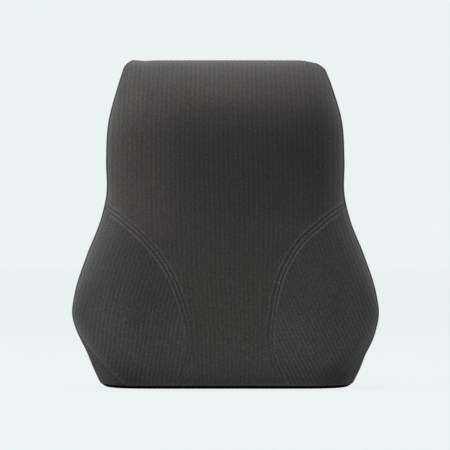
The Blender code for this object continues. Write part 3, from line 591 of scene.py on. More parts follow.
def front_points(v_rows, z_rows, x, rib, fade, relief):
    """The points of a front panel, from its grid of x."""
    rise = RIB_DEPTH * (rib - 0.6) * fade + relief
    return raise_skin(over(v_rows, x), front_w(z_rows, x), rise)


def seam_fade(distance):
    return 0.35 + 0.65 * smooth_step(distance, 0.0002, 0.0035)


def centre_panel():
    """The centre of the front, which runs over the top and a little way down the back."""
    v_rows = front_rows(HEIGHT, WING_SEAM_END + 0.005)
    z_rows = height_of(v_rows)
    low = np.maximum(seam_x(z_rows, -1), -side_edge(z_rows))
    high = np.minimum(seam_x(z_rows, 1), side_edge(z_rows))
    shift = FOOT_SHIFT * (1 - smooth_step(z_rows, 0.040, 0.130))[:, None]
    pitch = curve(CENTRE_PITCH, z_rows)[:, None]
    places, ids = columns_between(low, high, shift + pitch * rib_columns(-27, 27), np.full(len(v_rows), BAND))
    z = over(z_rows, places)
    d_wing = np.maximum(wing_distance(places, z, -1), wing_distance(places, z, 1))
    d_side = side_edge(z) - np.abs(places)
    seamed = z < WING_SEAM_END
    side_relief = side_seam_relief(d_side, z) * (z > SIDE_SEAM_START)
    relief = wing_seam_relief(d_wing, z) * seamed + side_relief
    fade = seam_fade(np.minimum(np.abs(d_wing), d_side))
    at = (places - shift) / pitch
    rib = rib_height(at)
    # Painted shade between the ribs, stronger at the foot and on the top roll.
    rib_tone = RIB_TONE * (1.25 - 0.25 * smooth_step(z, 0.060, 0.140) + 0.55 * smooth_step(z, 0.280, 0.320))
    # Painted light and shade: in the rib valleys and the seams, by height, and towards the sides of the
    # waist.
    tone = painted_relief_shade(rib, fade, side_relief, rib_tone) + wing_seam_painted_light(d_wing, z) * seamed
    tone = tone + curve(CENTRE_PAINTED_LIGHT, z) + upper_side_painted_light(places, z)
    front = front_points(v_rows, z_rows, places, rib, fade, relief)
    # Over the top: the same columns go on down the back.
    back_v = np.linspace(V_TOP, float(row_of(TOP_SEAM_Z)), 9)
    share = places[-1] / high[-1]
    back_w = np.where(share < 0, -1.0, 1.0) * (W_BACK - np.abs(share) * (W_BACK - W_CORNER))
    d_top = over(back_v - back_v[-1], places)
    back_rise = RIB_DEPTH * (rib[-1] - 0.6) * seam_fade(d_top) + side_seam_relief(d_top)
    down = raise_skin(over(back_v, places), back_w, back_rise)
    middle = (front[-1:] + down[:1]) / 2
    middle[..., 2] += 0.0001
    points = np.concatenate([front, middle, down])
    more = len(back_v) + 1
    ids = np.concatenate([ids, np.arange(1, more + 1)[:, None] * places.shape[1] + ids[-1]])
    tone, at = (np.pad(grid, ((0, more), (0, 0)), mode="edge") for grid in (tone, at))
    steps = np.linalg.norm(np.diff(points, axis=0), axis=-1).mean(1)
    along = over(np.append(0, np.cumsum(steps)), points)
    return hemmed("cover_front_center", points, ids, at * RIB_WIDTH, along, tone)


def hemmed(name, points, ids, across, along, tone):
    """Turns a panel's edges in towards the foam, and makes its mesh."""
    normals = grid_normals(points, ids)
    padded = np.pad(points, ((1, 1), (1, 1), (0, 0)), mode="edge")
    inward = np.pad(normals, ((1, 1), (1, 1), (0, 0)), mode="edge")
    edge = np.ones(padded.shape[:2], bool)
    edge[1:-1, 1:-1] = False
    padded[edge] -= HEM_DEPTH * inward[edge]
    grown = np.full(padded.shape[:2], -1)
    grown[1:-1, 1:-1] = ids
    fresh = np.arange(edge.sum()) + ids.max() + 1
    grown[edge] = fresh
    # A row's closed-off columns share their hem point as well.
    for row in (0, -1):
        for c in np.nonzero(ids[row][1:] == ids[row][:-1])[0]:
            grown[row, c + 2] = grown[row, c + 1]
    flat = np.zeros((grown.max() + 1, 3))
    flat[grown.ravel()[::-1]] = padded.reshape(-1, 3)[::-1]
    layers = np.zeros((3, grown.max() + 1))
    for layer, source in zip(layers, (across, along, tone)):
        layer[grown.ravel()[::-1]] = np.pad(source, 1, mode="edge").ravel()[::-1]
    # The hem takes a darker tone: painted shade where the panel turns into its seam.
    layers[2][fresh] = HEM_TONE
    return panel_mesh(name, on_floor(flat), grown, *layers)


def grid_normals(points, ids):
    """Outward normals of a grid whose closed-off columns share a point."""
    flat = points.reshape(-1, 3)
    a, b, c, d = grid_quads(ids).T
    face = np.cross(flat[c] - flat[a], flat[d] - flat[b])
    total = np.zeros_like(flat)
    for corner in (a, b, c, d):
        np.add.at(total, corner, face)
    return unit(total)[ids]


WING_TOP_Z = {-1: 0.1927, 1: 0.1946}
WING_TIP = 0.0008  # width at the upper end
# Each wing's ribs: pitch along x, span of rib numbers, and how far they shift along x with height.
WING_PITCH = {-1: 0.00470, 1: 0.00452}
WING_RIB_SPAN = {-1: (-44, 2), 1: (-2, 41)}
WING_RIB_SHIFT = {
    -1: [(0.00, -0.0166), (0.05, -0.0096), (0.09, -0.0021), (0.12, 0.0061), (0.15, 0.0165), (0.20, 0.0385)],
    1: [(0.00, 0.0440), (0.05, 0.0218), (0.09, 0.0048), (0.12, -0.0071), (0.15, -0.0180), (0.20, -0.0345)],
}


def wing_panel(side, name):
    v_rows = front_rows(WING_TOP_Z[side], HEIGHT)
    z_rows = height_of(v_rows)
    near, far = seam_x(z_rows, side), side * side_edge(z_rows)
    low, high = np.minimum(near, far), np.maximum(near, far)
    width = np.where((far - near) * side > WING_TIP, high - low, WING_TIP)
    low = np.where(side > 0, high - width, low)
    pitch = WING_PITCH[side]
    shift = curve(WING_RIB_SHIFT[side], z_rows)[:, None]
    ribs = rib_columns(*WING_RIB_SPAN[side]) * pitch + shift
    places, ids = columns_between(low, low + width, ribs, np.minimum(BAND, 0.3 * width))
    z = over(z_rows, places)
    d_wing = np.abs(wing_distance(places, z, side))
    d_side = side_edge(z) - np.abs(places)
    side_relief = side_seam_relief(d_side, z)
    if side < 0:
        side_relief = side_relief + stitch_dimples(d_side, z)
    relief = wing_seam_relief(d_wing, z) + side_relief
    fade = seam_fade(np.minimum(d_wing, d_side))
    at = (places - shift) / pitch
    rib = rib_height(at)
    # Painted shade between the ribs, stronger low on the wing.
    rib_tone = WING_RIB_TONE[side] * (1.45 - 0.70 * smooth_step(z, 0.050, 0.120))
    # Painted light and shade: in the rib valleys and the seams, by height, and towards the side seam low
    # down.
    tone = painted_relief_shade(rib, fade, side_relief, rib_tone) + wing_seam_painted_light(d_wing, z) + curve(WING_PAINTED_LIGHT, z)
    tone = tone + painted_side_shade(d_side, z, side) - CORNER_SEAM[side] * corner_seam_tone(d_side, z)
    points = front_points(v_rows, z_rows, places, rib, fade, relief)
    return hemmed(name, points, ids, at * RIB_WIDTH, over(v_rows, places), tone)


def stitch_dimples(d, z):
    """Stitches that pull the left wing's side seam in, where it shows most."""
    pull = np.abs(np.sin(math.pi * z / 0.0042)) ** 6
    run = smooth_step(z, 0.088, 0.096) * (1 - smooth_step(z, 0.124, 0.132))
    return -0.0007 * bump(d, 0.0016, 0.0009) * pull * run


GUSSET_PITCH = 0.0046


def side_gusset(side, name):
    """The strip between the front and the back, with its ribs along it."""
    low_v = float(row_of(BASE_SEAM_Z))
    v_rows = np.concatenate([np.arange(low_v, V_ROLL, 0.002), np.linspace(V_ROLL, V_TOP, 32)])
    z_rows = height_of(v_rows)
    reach = np.array([s.corner - s.seam for s in map(Section, z_rows)])
    ribs = np.tile(rib_columns(0, 16) * GUSSET_PITCH, (len(v_rows), 1))
    places, ids = columns_between(0 * reach, reach, ribs, np.minimum(0.006, 0.3 * reach))
    z, v, full = over(z_rows, places), over(v_rows, places), over(reach, places)
    w = 1 + places / full * (W_CORNER - 1)
    edge = np.minimum(places, full - places)
    rib, fade = rib_height(places / GUSSET_PITCH), seam_fade(edge)
    relief = np.where(places < full / 2, side_seam_relief(edge, z), side_seam_relief(edge))
    rise = RIB_DEPTH * 0.9 * (rib - 0.6) * fade + relief
    foot = 1 - smooth_step(z, 0.050, 0.080)
    tone = painted_relief_shade(rib, fade, relief, RIB_TONE * (1 + CORNER_RIBS[side] * foot))
    # Painted light beside the seam at the foot of each gusset, and painted shade further round towards the
    # back corner.
    far = smooth_step(places, 0.010, 0.035)
    tone = tone + foot * smooth_step(z, 0.008, 0.030) * (CORNER_PAINTED_LIGHT[side] * (1 - 0.7 * far) - 0.9 * far)
    tone = tone - CORNER_SEAM[side] * corner_seam_tone(places, z)
    if side < 0:
        w, v, rise, tone, places, ids = (grid[:, ::-1] for grid in (-w, v, rise, tone, places, ids))
        # The grid was turned round, so its ids are counted from the other side.
        width = w.shape[1]
        ids = ids // width * width + width - 1 - ids % width
    return hemmed(name, raise_skin(v, w, rise), ids, places * 1.08, v, tone)


BACK_PITCH = 0.0052


def back_panel(name, low_z, high_z, low_slot, high_slot, step):
    """A panel of the back. Its edge beside the zip is cut back over the zip's length."""
    low_v, high_v = float(row_of(low_z)), float(row_of(high_z))
    v_rows = np.linspace(low_v, high_v, int((high_v - low_v) / step) + 2)
    table_v = np.linspace(0, V_TOP, 200)
    reach_table = [s.end - s.corner for s in map(Section, height_of(table_v))]
    reach = np.interp(v_rows, table_v, reach_table)
    ribs = np.tile(rib_columns(-32, 32, RIB_PHASES_COARSE) * BACK_PITCH, (len(v_rows), 1))
    places, ids = columns_between(-reach, reach, ribs, np.full(len(v_rows), 0.005))
    beside = 1 - smooth_step(np.abs(places), ZIP_HALF_LENGTH - 0.0022, ZIP_HALF_LENGTH - 0.0012)
    v = over(v_rows, places)
    if low_slot:
        v = v + beside * ZIP_SLOT_HALF * (1 - smooth_step(v, low_v, low_v + 0.045))
    if high_slot:
        v = v - beside * ZIP_SLOT_HALF * smooth_step(v, high_v - 0.024, high_v)
    local = np.interp(v, table_v, reach_table)
    w = W_BACK + np.clip(places / local, -1, 1) * (W_BACK - W_CORNER)
    side = np.abs(np.abs(places) - local)
    edge = np.minimum.reduce([side, v - v[:1], v[-1:] - v])
    rib, fade = rib_height(places / BACK_PITCH), seam_fade(edge)
    flat = 1 - 0.6 * bump(height_of(v), STRAP_Z, 0.021) * (np.abs(places) < 0.12)
    relief = side_seam_relief(edge) - 0.0001
    rise = RIB_DEPTH * 0.8 * (rib - 0.85) * fade * flat + np.minimum(relief, 0.00012)
    return hemmed(name, raise_skin(v, w, rise), ids, places, v, painted_relief_shade(rib, fade, relief))


def base_panel():
    """The flat base, with a rim that turns up to the seam round the cushion's foot."""
    ring_w = np.linspace(-W_BACK, W_BACK, 901)
    rim_v = np.linspace(float(row_of(BASE_SEAM_Z)), 0, 7)[:, None]
    rim = raise_skin(rim_v, ring_w, -0.0003 - 0.0008 * bump(rim_v, rim_v[0], 0.0012))
    edge = sample(SKIN, 0.0, ring_w)
    middle = np.array([0.0, edge[:, 1].mean(), 0.0])
    share = np.linspace(0.985, 0.06, 30)[:, None]
    inner = middle + (edge - middle) * share[..., None]
    valleys = 1 - rib_height(inner[..., 0] / BACK_PITCH)
    inner[..., 2] = 0.00045 * valleys * smooth_step(1 - share, 0.0, 0.05)
    hub = np.repeat(inner[-1:].mean(1, keepdims=True), len(ring_w), 1)
    points = on_floor(np.concatenate([rim, inner, hub])[:, ::-1])
    ids = np.arange(points.shape[0] * points.shape[1]).reshape(points.shape[:2])
    ids[:, -1] = ids[:, 0]
    ids[-1, :] = ids[-1, 0]
    tone = painted_relief_shade(rib_height(points[..., 0] / BACK_PITCH), 1, 0)
    return panel_mesh("cover_base", points, ids, points[..., 0], points[..., 1], tone)


# ---------------------------------------------------------------- thread


def sweep(path, radius, sides=6, taper=None):
    """Points and faces of a closed tube along a path; taper scales the radius at each path point."""
    path = np.asarray(path, float)
    along = unit(np.gradient(path, axis=0))
    start = np.cross(along[0], (0.0, 0.0, 1.0))
    if np.linalg.norm(start) < 0.1:
        start = np.cross(along[0], (1.0, 0.0, 0.0))
    across = [start / np.linalg.norm(start)]
    for direction in along[1:]:
        turned = across[-1] - direction * (across[-1] @ direction)
        across.append(turned / np.linalg.norm(turned))
    across = np.array(across)
    other = np.cross(along, across)
    turn = np.linspace(0, 2 * math.pi, sides, endpoint=False)
    size = radius * (np.ones(len(path)) if taper is None else taper)
    ring = across[:, None] * np.cos(turn)[None, :, None] + other[:, None] * np.sin(turn)[None, :, None]
    points = (path[:, None] + ring * size[:, None, None]).reshape(-1, 3)
    ends = [tuple(reversed(range(sides))), tuple(range(len(points) - sides, len(points)))]
    return points, wall_faces(len(path), sides) + ends


def joined(name, parts):
    """One mesh object from (points, faces) parts."""
    points, faces, start = [], [], 0
    for part_points, part_faces in parts:
        points.append(part_points)
        faces += [tuple(start + i for i in face) for face in part_faces]
        start += len(part_points)
    item = new_mesh(name, np.concatenate(points), faces)
    item.data.shade_smooth()
    return item


STITCH = 0.0034
STITCH_GAP = 0.0007
THREAD_RADIUS = 0.00042
# Along a stitch: how deep it dives into the fabric, and how thick it is.
STITCH_DIVE = 0.0005 * np.array([1.0, 0.35, 0.05, 0.0, 0.05, 0.35, 1.0])
STITCH_TAPER = np.array([0.7, 0.95, 1, 1, 1, 0.95, 0.7])


def stitches(line, normals, radius=THREAD_RADIUS, stitch=STITCH):
    """Separate stitches along a line of points: each lies on the fabric and dives in at both ends."""
    along = run_lengths(line)
    count = int(along[-1] / (stitch + STITCH_GAP))
    pitch = along[-1] / max(count, 1)
    parts = []
    for n in range(count):
        at = n * pitch + STITCH_GAP / 2 + np.linspace(0, pitch - STITCH_GAP, len(STITCH_DIVE))
        spot, up = (np.column_stack([np.interp(at, along, values) for values in rows.T])
                    for rows in (line, normals))
        parts.append(sweep(spot - unit(up) * STITCH_DIVE[:, None], radius, 6, STITCH_TAPER))
    return parts


TOPSTITCH_RUN = (0.016, 0.183)  # heights between which a wing seam's rows of thread run
TOPSTITCH_LIFT = 0.0001


def topstitch(side, offset, name):
    """One row of thread along a wing seam."""
    z = np.linspace(*TOPSTITCH_RUN, 300)
    x = seam_x(z, side) + side * offset * seam_lean(z, side)
    v, w = row_of(z), front_w(z, x)
    rise = wing_seam_relief(offset, z) + TOPSTITCH_LIFT
    return joined(name, stitches(raise_skin(v, w, rise), unit(sample(SKIN_NORMALS, v, w))))


# ---------------------------------------------------------------- zip, strap and label


def webbing(name, line, low_z, high_z, thickness, ribs, rib_depth):
    """A woven band: line holds (x, lift) points of its middle, lift being the height off the back."""
    along = unit(np.gradient(line, axis=0))
    rightward = line[-1, 0] > line[0, 0]
    outward = np.column_stack([-along[:, 1], along[:, 0]]) * (1 if rightward else -1)
    across = np.linspace(0, 1, 4 * ribs + 1)
    edge = np.minimum(across, 1 - across) * (high_z - low_z)
    half = thickness / 2 * np.sqrt(np.clip(1 - np.clip(1 - edge / (0.7 * thickness), 0, 1) ** 2, 0.04, 1))
    profile = half + rib_depth * (np.abs(np.sin(math.pi * ribs * across)) ** 0.8 - 1) * (edge > 0.0004)
    z = low_z + across * (high_z - low_z)
    sides = []
    for sign in (1, -1):
        spot = line[:, None] + sign * outward[:, None] * profile[None, :, None]
        points = np.stack([spot[..., 0], BACK_Y + spot[..., 1], np.repeat(z[None], len(line), 0)], -1)
        sides.append(points if sign > 0 else points[:, ::-1])
    points = np.concatenate(sides, 1)
    rows, count = points.shape[:2]
    faces = wall_faces(rows, count)
    last = (rows - 1) * count
    for c in range(count // 2 - 1):
        back = count - 1 - c
        faces.append((back, back - 1, c + 1, c))
        faces.append((last + back - 1, last + back, last + c, last + c + 1))
    if rightward:
        faces = [face[::-1] for face in faces]
    item = new_mesh(name, points.reshape(-1, 3), faces)
    write_uv(item.data, over(run_lengths(line), points), points[..., 2])
    item.data.shade_smooth()
    return item


def smooth_route(route, step=0.0008):
    """A smooth line through a strap's route points."""
    route = np.array(route)
    along = run_lengths(route)
    runs = [np.linspace(a, b, max(int((b - a) / step), 2) + 1) for a, b in zip(along, along[1:])]
    at = np.unique(np.concatenate(runs))
    return np.column_stack([curve(np.column_stack([along, values]), at) for values in route.T])


LEFT_ROUTE = [(-STRAP_END_X, 0.0012), (-0.090, 0.0012), (-0.065, 0.0012), (-0.046, 0.0013),
              (-0.038, 0.0022), (-0.0330, 0.0027), (-0.0300, 0.0036), (-0.0292, 0.0056),
              (-0.0300, 0.0076), (-0.0330, 0.0084), (-0.038, 0.0076), (-0.045, 0.0050),
              (-0.053, 0.0034), (-0.068, 0.0033)]
RIGHT_ROUTE = [(STRAP_END_X, 0.0012), (0.090, 0.0012), (0.064, 0.0012), (0.050, 0.0018),
               (0.039, 0.0050), (0.0315, 0.0077), (0.0270, 0.0084), (0.0240, 0.0081),
               (0.0226, 0.0068), (0.0222, 0.0046), (0.0207, 0.0030), (0.0182, 0.0026),
               (0.0156, 0.0033), (0.0145, 0.0056), (0.0156, 0.0078), (0.0185, 0.0092),
               (0.0230, 0.0101), (0.0290, 0.0103), (0.0345, 0.0094), (0.0430, 0.0063),
               (0.0520, 0.0040), (0.066, 0.0034), (0.084, 0.0034)]


def flat_stitches(corners, lift, **options):
    """Stitches along straight runs of (x, z) corners, on something flat at this lift off the back."""
    parts = []
    for (x0, z0), (x1, z1) in zip(corners, corners[1:]):
        line = np.linspace((x0, BACK_Y + lift, z0), (x1, BACK_Y + lift, z1), 40)
        parts += stitches(line, np.tile((0.0, 1.0, 0.0), (40, 1)), **options)
    return parts


def strap_stitching():
    """A crossed box at each sewn end, and rows across the folded ends."""
    low, high = STRAP_LOW + 0.003, STRAP_HIGH - 0.003
    parts = []
    for side in (-1, 1):
        outer, inner = side * (STRAP_END_X - 0.002), side * (STRAP_END_X - 0.016)
        box = [(outer, low), (outer, high), (inner, high), (inner, low), (outer, low), (inner, high)]
        parts += flat_stitches(box, 0.0021) + flat_stitches([(inner, low), (outer, high)], 0.0022)
    for x, lift in ((-0.0655, 0.0042), (-0.0615, 0.0042), (0.0815, 0.0043)):
        parts += flat_stitches([(x, low), (x, high)], lift)
    return joined("strap_stitching", parts)


COIL_PITCH = 0.00125
COIL_WIRE = 0.00027


def coil(up, name):
    """One side of the zip's nylon coil, whose loops lie between the other side's."""
    half = ZIP_HALF_LENGTH - 0.0065
    turns, per_turn = int(2 * half / COIL_PITCH) - 1, 12
    t = np.arange(turns * per_turn) / per_turn
    wave = np.cos(2 * math.pi * t)
    x = -half + COIL_PITCH * (t + (0.5 if up < 0 else 0.0))
    y = BACK_Y + 0.0001 + 0.00052 * np.sin(2 * math.pi * t)
    z = ZIP_Z + up * (0.00145 - (0.00125 + 0.0003 * np.sign(wave)) * wave)
    return joined(name, [sweep(np.column_stack([x, y, z]), COIL_WIRE, 6)])


LABEL_SIDES = (-0.121, -0.095)
LABEL_TOP, LABEL_FOOT = 0.106, 0.072


def care_label():
    """A blank satin label, sewn along its top, with its foot a little off the fabric."""
    rows, count = 36, 27
    total = rows * count
    x = np.linspace(*LABEL_SIDES, count)[::-1]
    z = np.linspace(LABEL_FOOT, LABEL_TOP, rows)[:, None]
    down = np.linspace(1, 0, rows)[:, None]
    sway = 0.0003 * np.sin(np.linspace(0, 5, count))
    y = BACK_Y + 0.0006 + (0.0016 * down + 0.0003 * np.sin(down * 9) + sway) * down
    front = np.stack(np.broadcast_arrays(x, y, z), -1)
    back = front - (0, 0.0003, 0)
    index = np.arange(total).reshape(rows, count)
    quads = grid_quads(index)
    faces = quads.tolist() + (quads[:, ::-1] + total).tolist()
    rim = np.concatenate([index[0, :-1], index[:-1, -1], index[-1, :0:-1], index[:0:-1, 0]])
    faces += [(a, a + total, b + total, b) for a, b in zip(rim.tolist(), np.roll(rim, -1).tolist())]
    item = new_mesh("blank_label", np.concatenate([front.reshape(-1, 3), back.reshape(-1, 3)]), faces)
    item.data.shade_smooth()
    item.data.set_sharp_from_angle(angle=math.radians(40))
    return item


def label_stitching():
    line = [(LABEL_SIDES[0] + 0.001, LABEL_TOP - 0.0015), (LABEL_SIDES[1] - 0.001, LABEL_TOP - 0.0015)]
    return joined("label_stitching", flat_stitches(line, 0.0012, radius=0.0003, stitch=0.0022))


def inner_form(name, depth, roughness):
    """A closed form at a depth under the cover: the liner, or the foam."""
    x, z = SKIN[..., :1], SKIN[..., 2:]
    wobble = roughness * np.sin(x * 140 + 3 * np.sin(z * 60)) * np.sin(z * 110)
    points = SKIN - SKIN_NORMALS * (depth - wobble)
    item = new_mesh(name, points.reshape(-1, 3), ring_faces(ROWS + 1, RING, *COLUMN_STOPS[1:3]))
    item.data.shade_smooth()
    return item


# ---------------------------------------------------------------- materials


class Graph:
    """A node material under construction."""

    def __init__(self, name):
        self.material = bpy.data.materials.new(name)
        self.material.use_nodes = True
        self.tree = self.material.node_tree
        self.shader = self.tree.nodes["Principled BSDF"]

    def put(self, socket, value):
        if isinstance(value, bpy.types.NodeSocket):
            self.tree.links.new(value, socket)
        else:
            socket.default_value = value

    def add(self, kind, inputs=None, **settings):
        node = self.tree.nodes.new("ShaderNode" + kind)
        for key, value in settings.items():
            setattr(node, key, value)
        for key, value in (inputs or {}).items():
            self.put(node.inputs[key], value)
        return node

    def math(self, operation, *values):
        return self.add("Math", dict(enumerate(values)), operation=operation).outputs[0]

    def product(self, first, *others):
        for other in others:
            first = self.math("MULTIPLY", first, other)
        return first

    def wave(self, turns):
        """A sine wave from 0 to 1."""
        return self.math("MULTIPLY_ADD", self.math("SINE", self.product(turns, 2 * math.pi)), 0.5, 0.5)

    def ramp(self, value, low, high):
        """value, from 0..1 to low..high."""
        return self.math("MULTIPLY_ADD", value, high - low, low)

    def spot(self):
        return self.add("TexCoord").outputs["Object"]

    def uv(self):
        """How far across and along the cloth a place lies."""
        return self.add("SeparateXYZ", {0: self.add("UVMap", uv_map="UVMap").outputs[0]}).outputs[:2]

    def noise(self, scale, detail=2.0, roughness=0.5, vector=None):
        inputs = {"Vector": vector or self.spot(), "Scale": scale, "Detail": detail, "Roughness": roughness}
        return self.add("TexNoise", inputs).outputs["Fac"]

    def lines(self, scale, distortion, direction):
        inputs = {"Vector": self.spot(), "Scale": scale, "Distortion": distortion}
        return self.add("TexWave", inputs, bands_direction=direction).outputs["Fac"]

    def tinted(self, one, other, share, value):
        """A colour between two tints, times a value."""
        mixed = self.add("Mix", data_type="RGBA")
        self.put(mixed.inputs["Factor"], share)
        mixed.inputs[6].default_value = (*one, 1)
        mixed.inputs[7].default_value = (*other, 1)
        return self.add("VectorMath", {0: mixed.outputs[2], "Scale": value}, operation="SCALE").outputs[0]

    def finish(self, color, roughness, height=None, **more):
        self.put(self.shader.inputs["Base Color"], color)
        self.put(self.shader.inputs["Roughness"], roughness)
        for key, value in more.items():
            self.put(self.shader.inputs[key.replace("_", " ").title().replace("Ior", "IOR")], value)
        if height is not None:
            normal = self.add("Bump", {"Height": height, "Distance": 1.0, "Strength": 1.0}).outputs[0]
            self.put(self.shader.inputs["Normal"], normal)
        return self.material


WALE = 0.00128  # width of one column of knit stitches
COURSE = 0.00105  # height of one stitch
BEAD = 0.0027  # spacing of the tuck stitches along a rib


def knit(name, one, other, sheen=0.12, shine=0.12):
    """Ribbed knit: V-shaped stitches in columns, tuck stitches that alternate from rib to rib, soft fibres,
    and the tone attribute, which holds painted shade between the ribs and in the seams and painted light and
    shade over the form."""
    g = Graph(name)
    across, along = g.uv()
    tone = g.add("Attribute", attribute_name="tone").outputs["Fac"]
    wale = g.math("FRACT", g.math("DIVIDE", across, WALE))
    arm = g.product(g.math("ABSOLUTE", g.math("SUBTRACT", wale, 0.5)), 2.0)
    loop = g.wave(g.math("MULTIPLY_ADD", arm, 0.55, g.math("DIVIDE", along, COURSE)))
    stitch = g.product(loop, g.math("SUBTRACT", 1.0, g.math("POWER", arm, 4.0)))
    rib_number = g.math("FLOOR", g.math("DIVIDE", across, RIB_WIDTH))
    beads_up = g.math("MULTIPLY_ADD", rib_number, 0.5, g.math("DIVIDE", along, BEAD))
    bead = g.wave(g.math("ADD", beads_up, g.noise(160.0, 1.0)))
    fibre = g.noise(900.0, 3.0, 0.6)
    grain = g.noise(430.0, 2.0, 0.6)
    cloud = g.noise(14.0, 2.0)
    patch = g.noise(5.0, 1.0)
    value = g.product(g.ramp(tone, 0.84, 1.10), g.ramp(stitch, 0.86, 1.12), g.ramp(bead, 0.90, 1.10),
                      g.ramp(fibre, 0.35, 1.65), g.ramp(grain, 0.40, 1.60), g.ramp(cloud, 0.90, 1.10))
    height = g.math("MULTIPLY_ADD", stitch, 0.00012, g.product(fibre, 0.00012))
    height = g.math("MULTIPLY_ADD", bead, 0.00010, height)
    return g.finish(g.tinted(one, other, patch, value), g.ramp(fibre, 0.80, 0.98), height, sheen_weight=sheen,
                    sheen_roughness=0.42, sheen_tint=(0.93, 0.93, 0.94, 1), specular_ior_level=shine)


def lighter(color, factor):
    return tuple(min(c * factor, 1) for c in color)


def thread_material(name, color):
    g = Graph(name)
    ply = g.lines(900.0, 2.0, "DIAGONAL")
    fibre = g.noise(1500.0)
    value = g.product(g.ramp(ply, 0.75, 1.2), g.ramp(fibre, 0.8, 1.2))
    return g.finish(g.tinted(color, lighter(color, 1.15), fibre, value), 0.8, g.product(ply, 0.00006),
                    sheen_weight=0.1, specular_ior_level=0.15)


def woven(name, color, warp, weft, depth, sheen):
    """Narrow weave: warp yarns along the band and weft across it."""
    g = Graph(name)
    length, width = g.uv()
    long_phase = g.product(g.math("DIVIDE", length, weft), math.pi)
    wide_phase = g.product(g.math("DIVIDE", width, warp), math.pi)
    plain = g.math("ABSOLUTE", g.product(g.math("SINE", long_phase), g.math("SINE", wide_phase)))
    cross = g.math("ABSOLUTE", g.math("SINE", g.math("MULTIPLY_ADD", wide_phase, 0.5, long_phase)))
    weave = g.math("MULTIPLY_ADD", plain, 0.6, g.product(cross, 0.4))
    fibre = g.noise(1100.0, 3.0)
    cloud = g.noise(40.0)
    value = g.product(g.ramp(weave, 0.6, 1.25), g.ramp(fibre, 0.75, 1.25), g.ramp(cloud, 0.88, 1.12))
    height = g.math("MULTIPLY_ADD", weave, depth, g.product(fibre, 0.00004))
    return g.finish(g.tinted(color, lighter(color, 1.2), cloud, value), 0.8, height, sheen_weight=sheen,
                    sheen_roughness=0.4, specular_ior_level=0.3)


def moulded(name, color, roughness, grain):
    """Moulded plastic: fine grain, slightly polished where hands rub its edges."""
    g = Graph(name)
    sharp = g.math("SUBTRACT", g.add("NewGeometry").outputs["Pointiness"], 0.51)
    edge = g.math("SMOOTH_MIN", g.math("MAXIMUM", g.product(sharp, 12.0), 0.0), 1.0, 0.1)
    speck = g.noise(1800.0, 2.0)
    cloud = g.noise(60.0, 3.0)
    value = g.product(g.ramp(cloud, 0.85, 1.15), g.ramp(edge, 1.0, 1.5))
    rough = g.math("SUBTRACT", g.ramp(cloud, roughness - 0.05, roughness + 0.1), g.product(edge, 0.12))
    return g.finish(g.tinted(color, lighter(color, 1.2), speck, value), rough, g.product(speck, grain),
                    specular_ior_level=0.5)


def metal(name, color, roughness):
    """Plated metal with faint rub marks."""
    g = Graph(name)
    where = g.add("Mapping", {0: g.spot(), "Scale": (1.0, 1.0, 14.0)}).outputs[0]
    rub = g.noise(260.0, 4.0, 0.6, where)
    cloud = g.noise(90.0, 2.0)
    value = g.product(g.ramp(rub, 0.85, 1.12), g.ramp(cloud, 0.9, 1.1))
    rough = g.ramp(rub, roughness - 0.08, roughness + 0.14)
    return g.finish(g.tinted(color, lighter(color, 1.1), cloud, value), rough, g.product(rub, 0.00003),
                    metallic=1.0)


def soft_filling(name, color, cell, depth):
    """Open foam cells, or a thin jersey, by the size of the cells."""
    g = Graph(name)
    cells = g.add("TexVoronoi", {"Vector": g.spot(), "Scale": 1 / cell}).outputs["Distance"]
    cloud = g.noise(18.0, 3.0)
    value = g.product(g.ramp(cells, 0.75, 1.1), g.ramp(cloud, 0.92, 1.06))
    return g.finish(g.tinted(color, lighter(color, 1.05), cloud, value), 0.92, g.product(cells, depth),
                    sheen_weight=0.15)


def satin(name, one, other):
    """Smooth satin with the fine lines of its weave."""
    g = Graph(name)
    weave = g.lines(700.0, 0.4, "Z")
    return g.finish(g.tinted(one, other, g.noise(120.0), g.ramp(weave, 0.93, 1.0)), 0.42,
                    g.product(weave, 0.00002), sheen_weight=0.3)


CENTRE_KNIT = knit("knit_centre", (0.0234, 0.0215, 0.0210), (0.0252, 0.0233, 0.0228))
WING_KNIT = knit("knit_wing", (0.0234, 0.0215, 0.0220), (0.0252, 0.0233, 0.0239))
SIDE_KNIT = knit("knit_side", (0.0222, 0.0205, 0.0208), (0.0240, 0.0222, 0.0227), 0.04, 0.05)
BACK_KNIT = knit("knit_back", (0.0228, 0.0210, 0.0212), (0.0246, 0.0227, 0.0230))
BASE_KNIT = knit("knit_base", (0.0030, 0.0029, 0.0030), (0.0035, 0.0034, 0.0035), 0.0, 0.0)
THREAD = thread_material("thread_charcoal", (0.020, 0.020, 0.021))
STRAP_THREAD = thread_material("thread_black", (0.035, 0.035, 0.037))
LABEL_THREAD = thread_material("thread_white", (0.55, 0.55, 0.53))
TAPE = woven("zip_tape_weave", (0.014, 0.014, 0.015), 0.0006, 0.0005, 0.00010, 0.2)
ELASTIC = woven("elastic_weave", (0.020, 0.020, 0.022), 0.0010, 0.0009, 0.00016, 0.3)
SATIN = satin("label_satin", (0.80, 0.80, 0.77), (0.86, 0.86, 0.84))
NYLON = moulded("coil_nylon", (0.016, 0.016, 0.017), 0.42, 0.00001)
PLASTIC = moulded("buckle_plastic", (0.014, 0.014, 0.015), 0.42, 0.00003)
STEEL = metal("stop_metal", (0.42, 0.42, 0.43), 0.34)
BLACK_METAL = metal("slider_metal", (0.075, 0.075, 0.078), 0.38)
FOAM = soft_filling("memory_foam", (0.80, 0.77, 0.68), 0.0011, 0.0002)
JERSEY = soft_filling("liner_jersey", (0.84, 0.84, 0.82), 0.0007, 0.0001)


# ---------------------------------------------------------------- the pieces


def dress(mesh, material):
    mesh.materials.clear()
    mesh.materials.append(material)


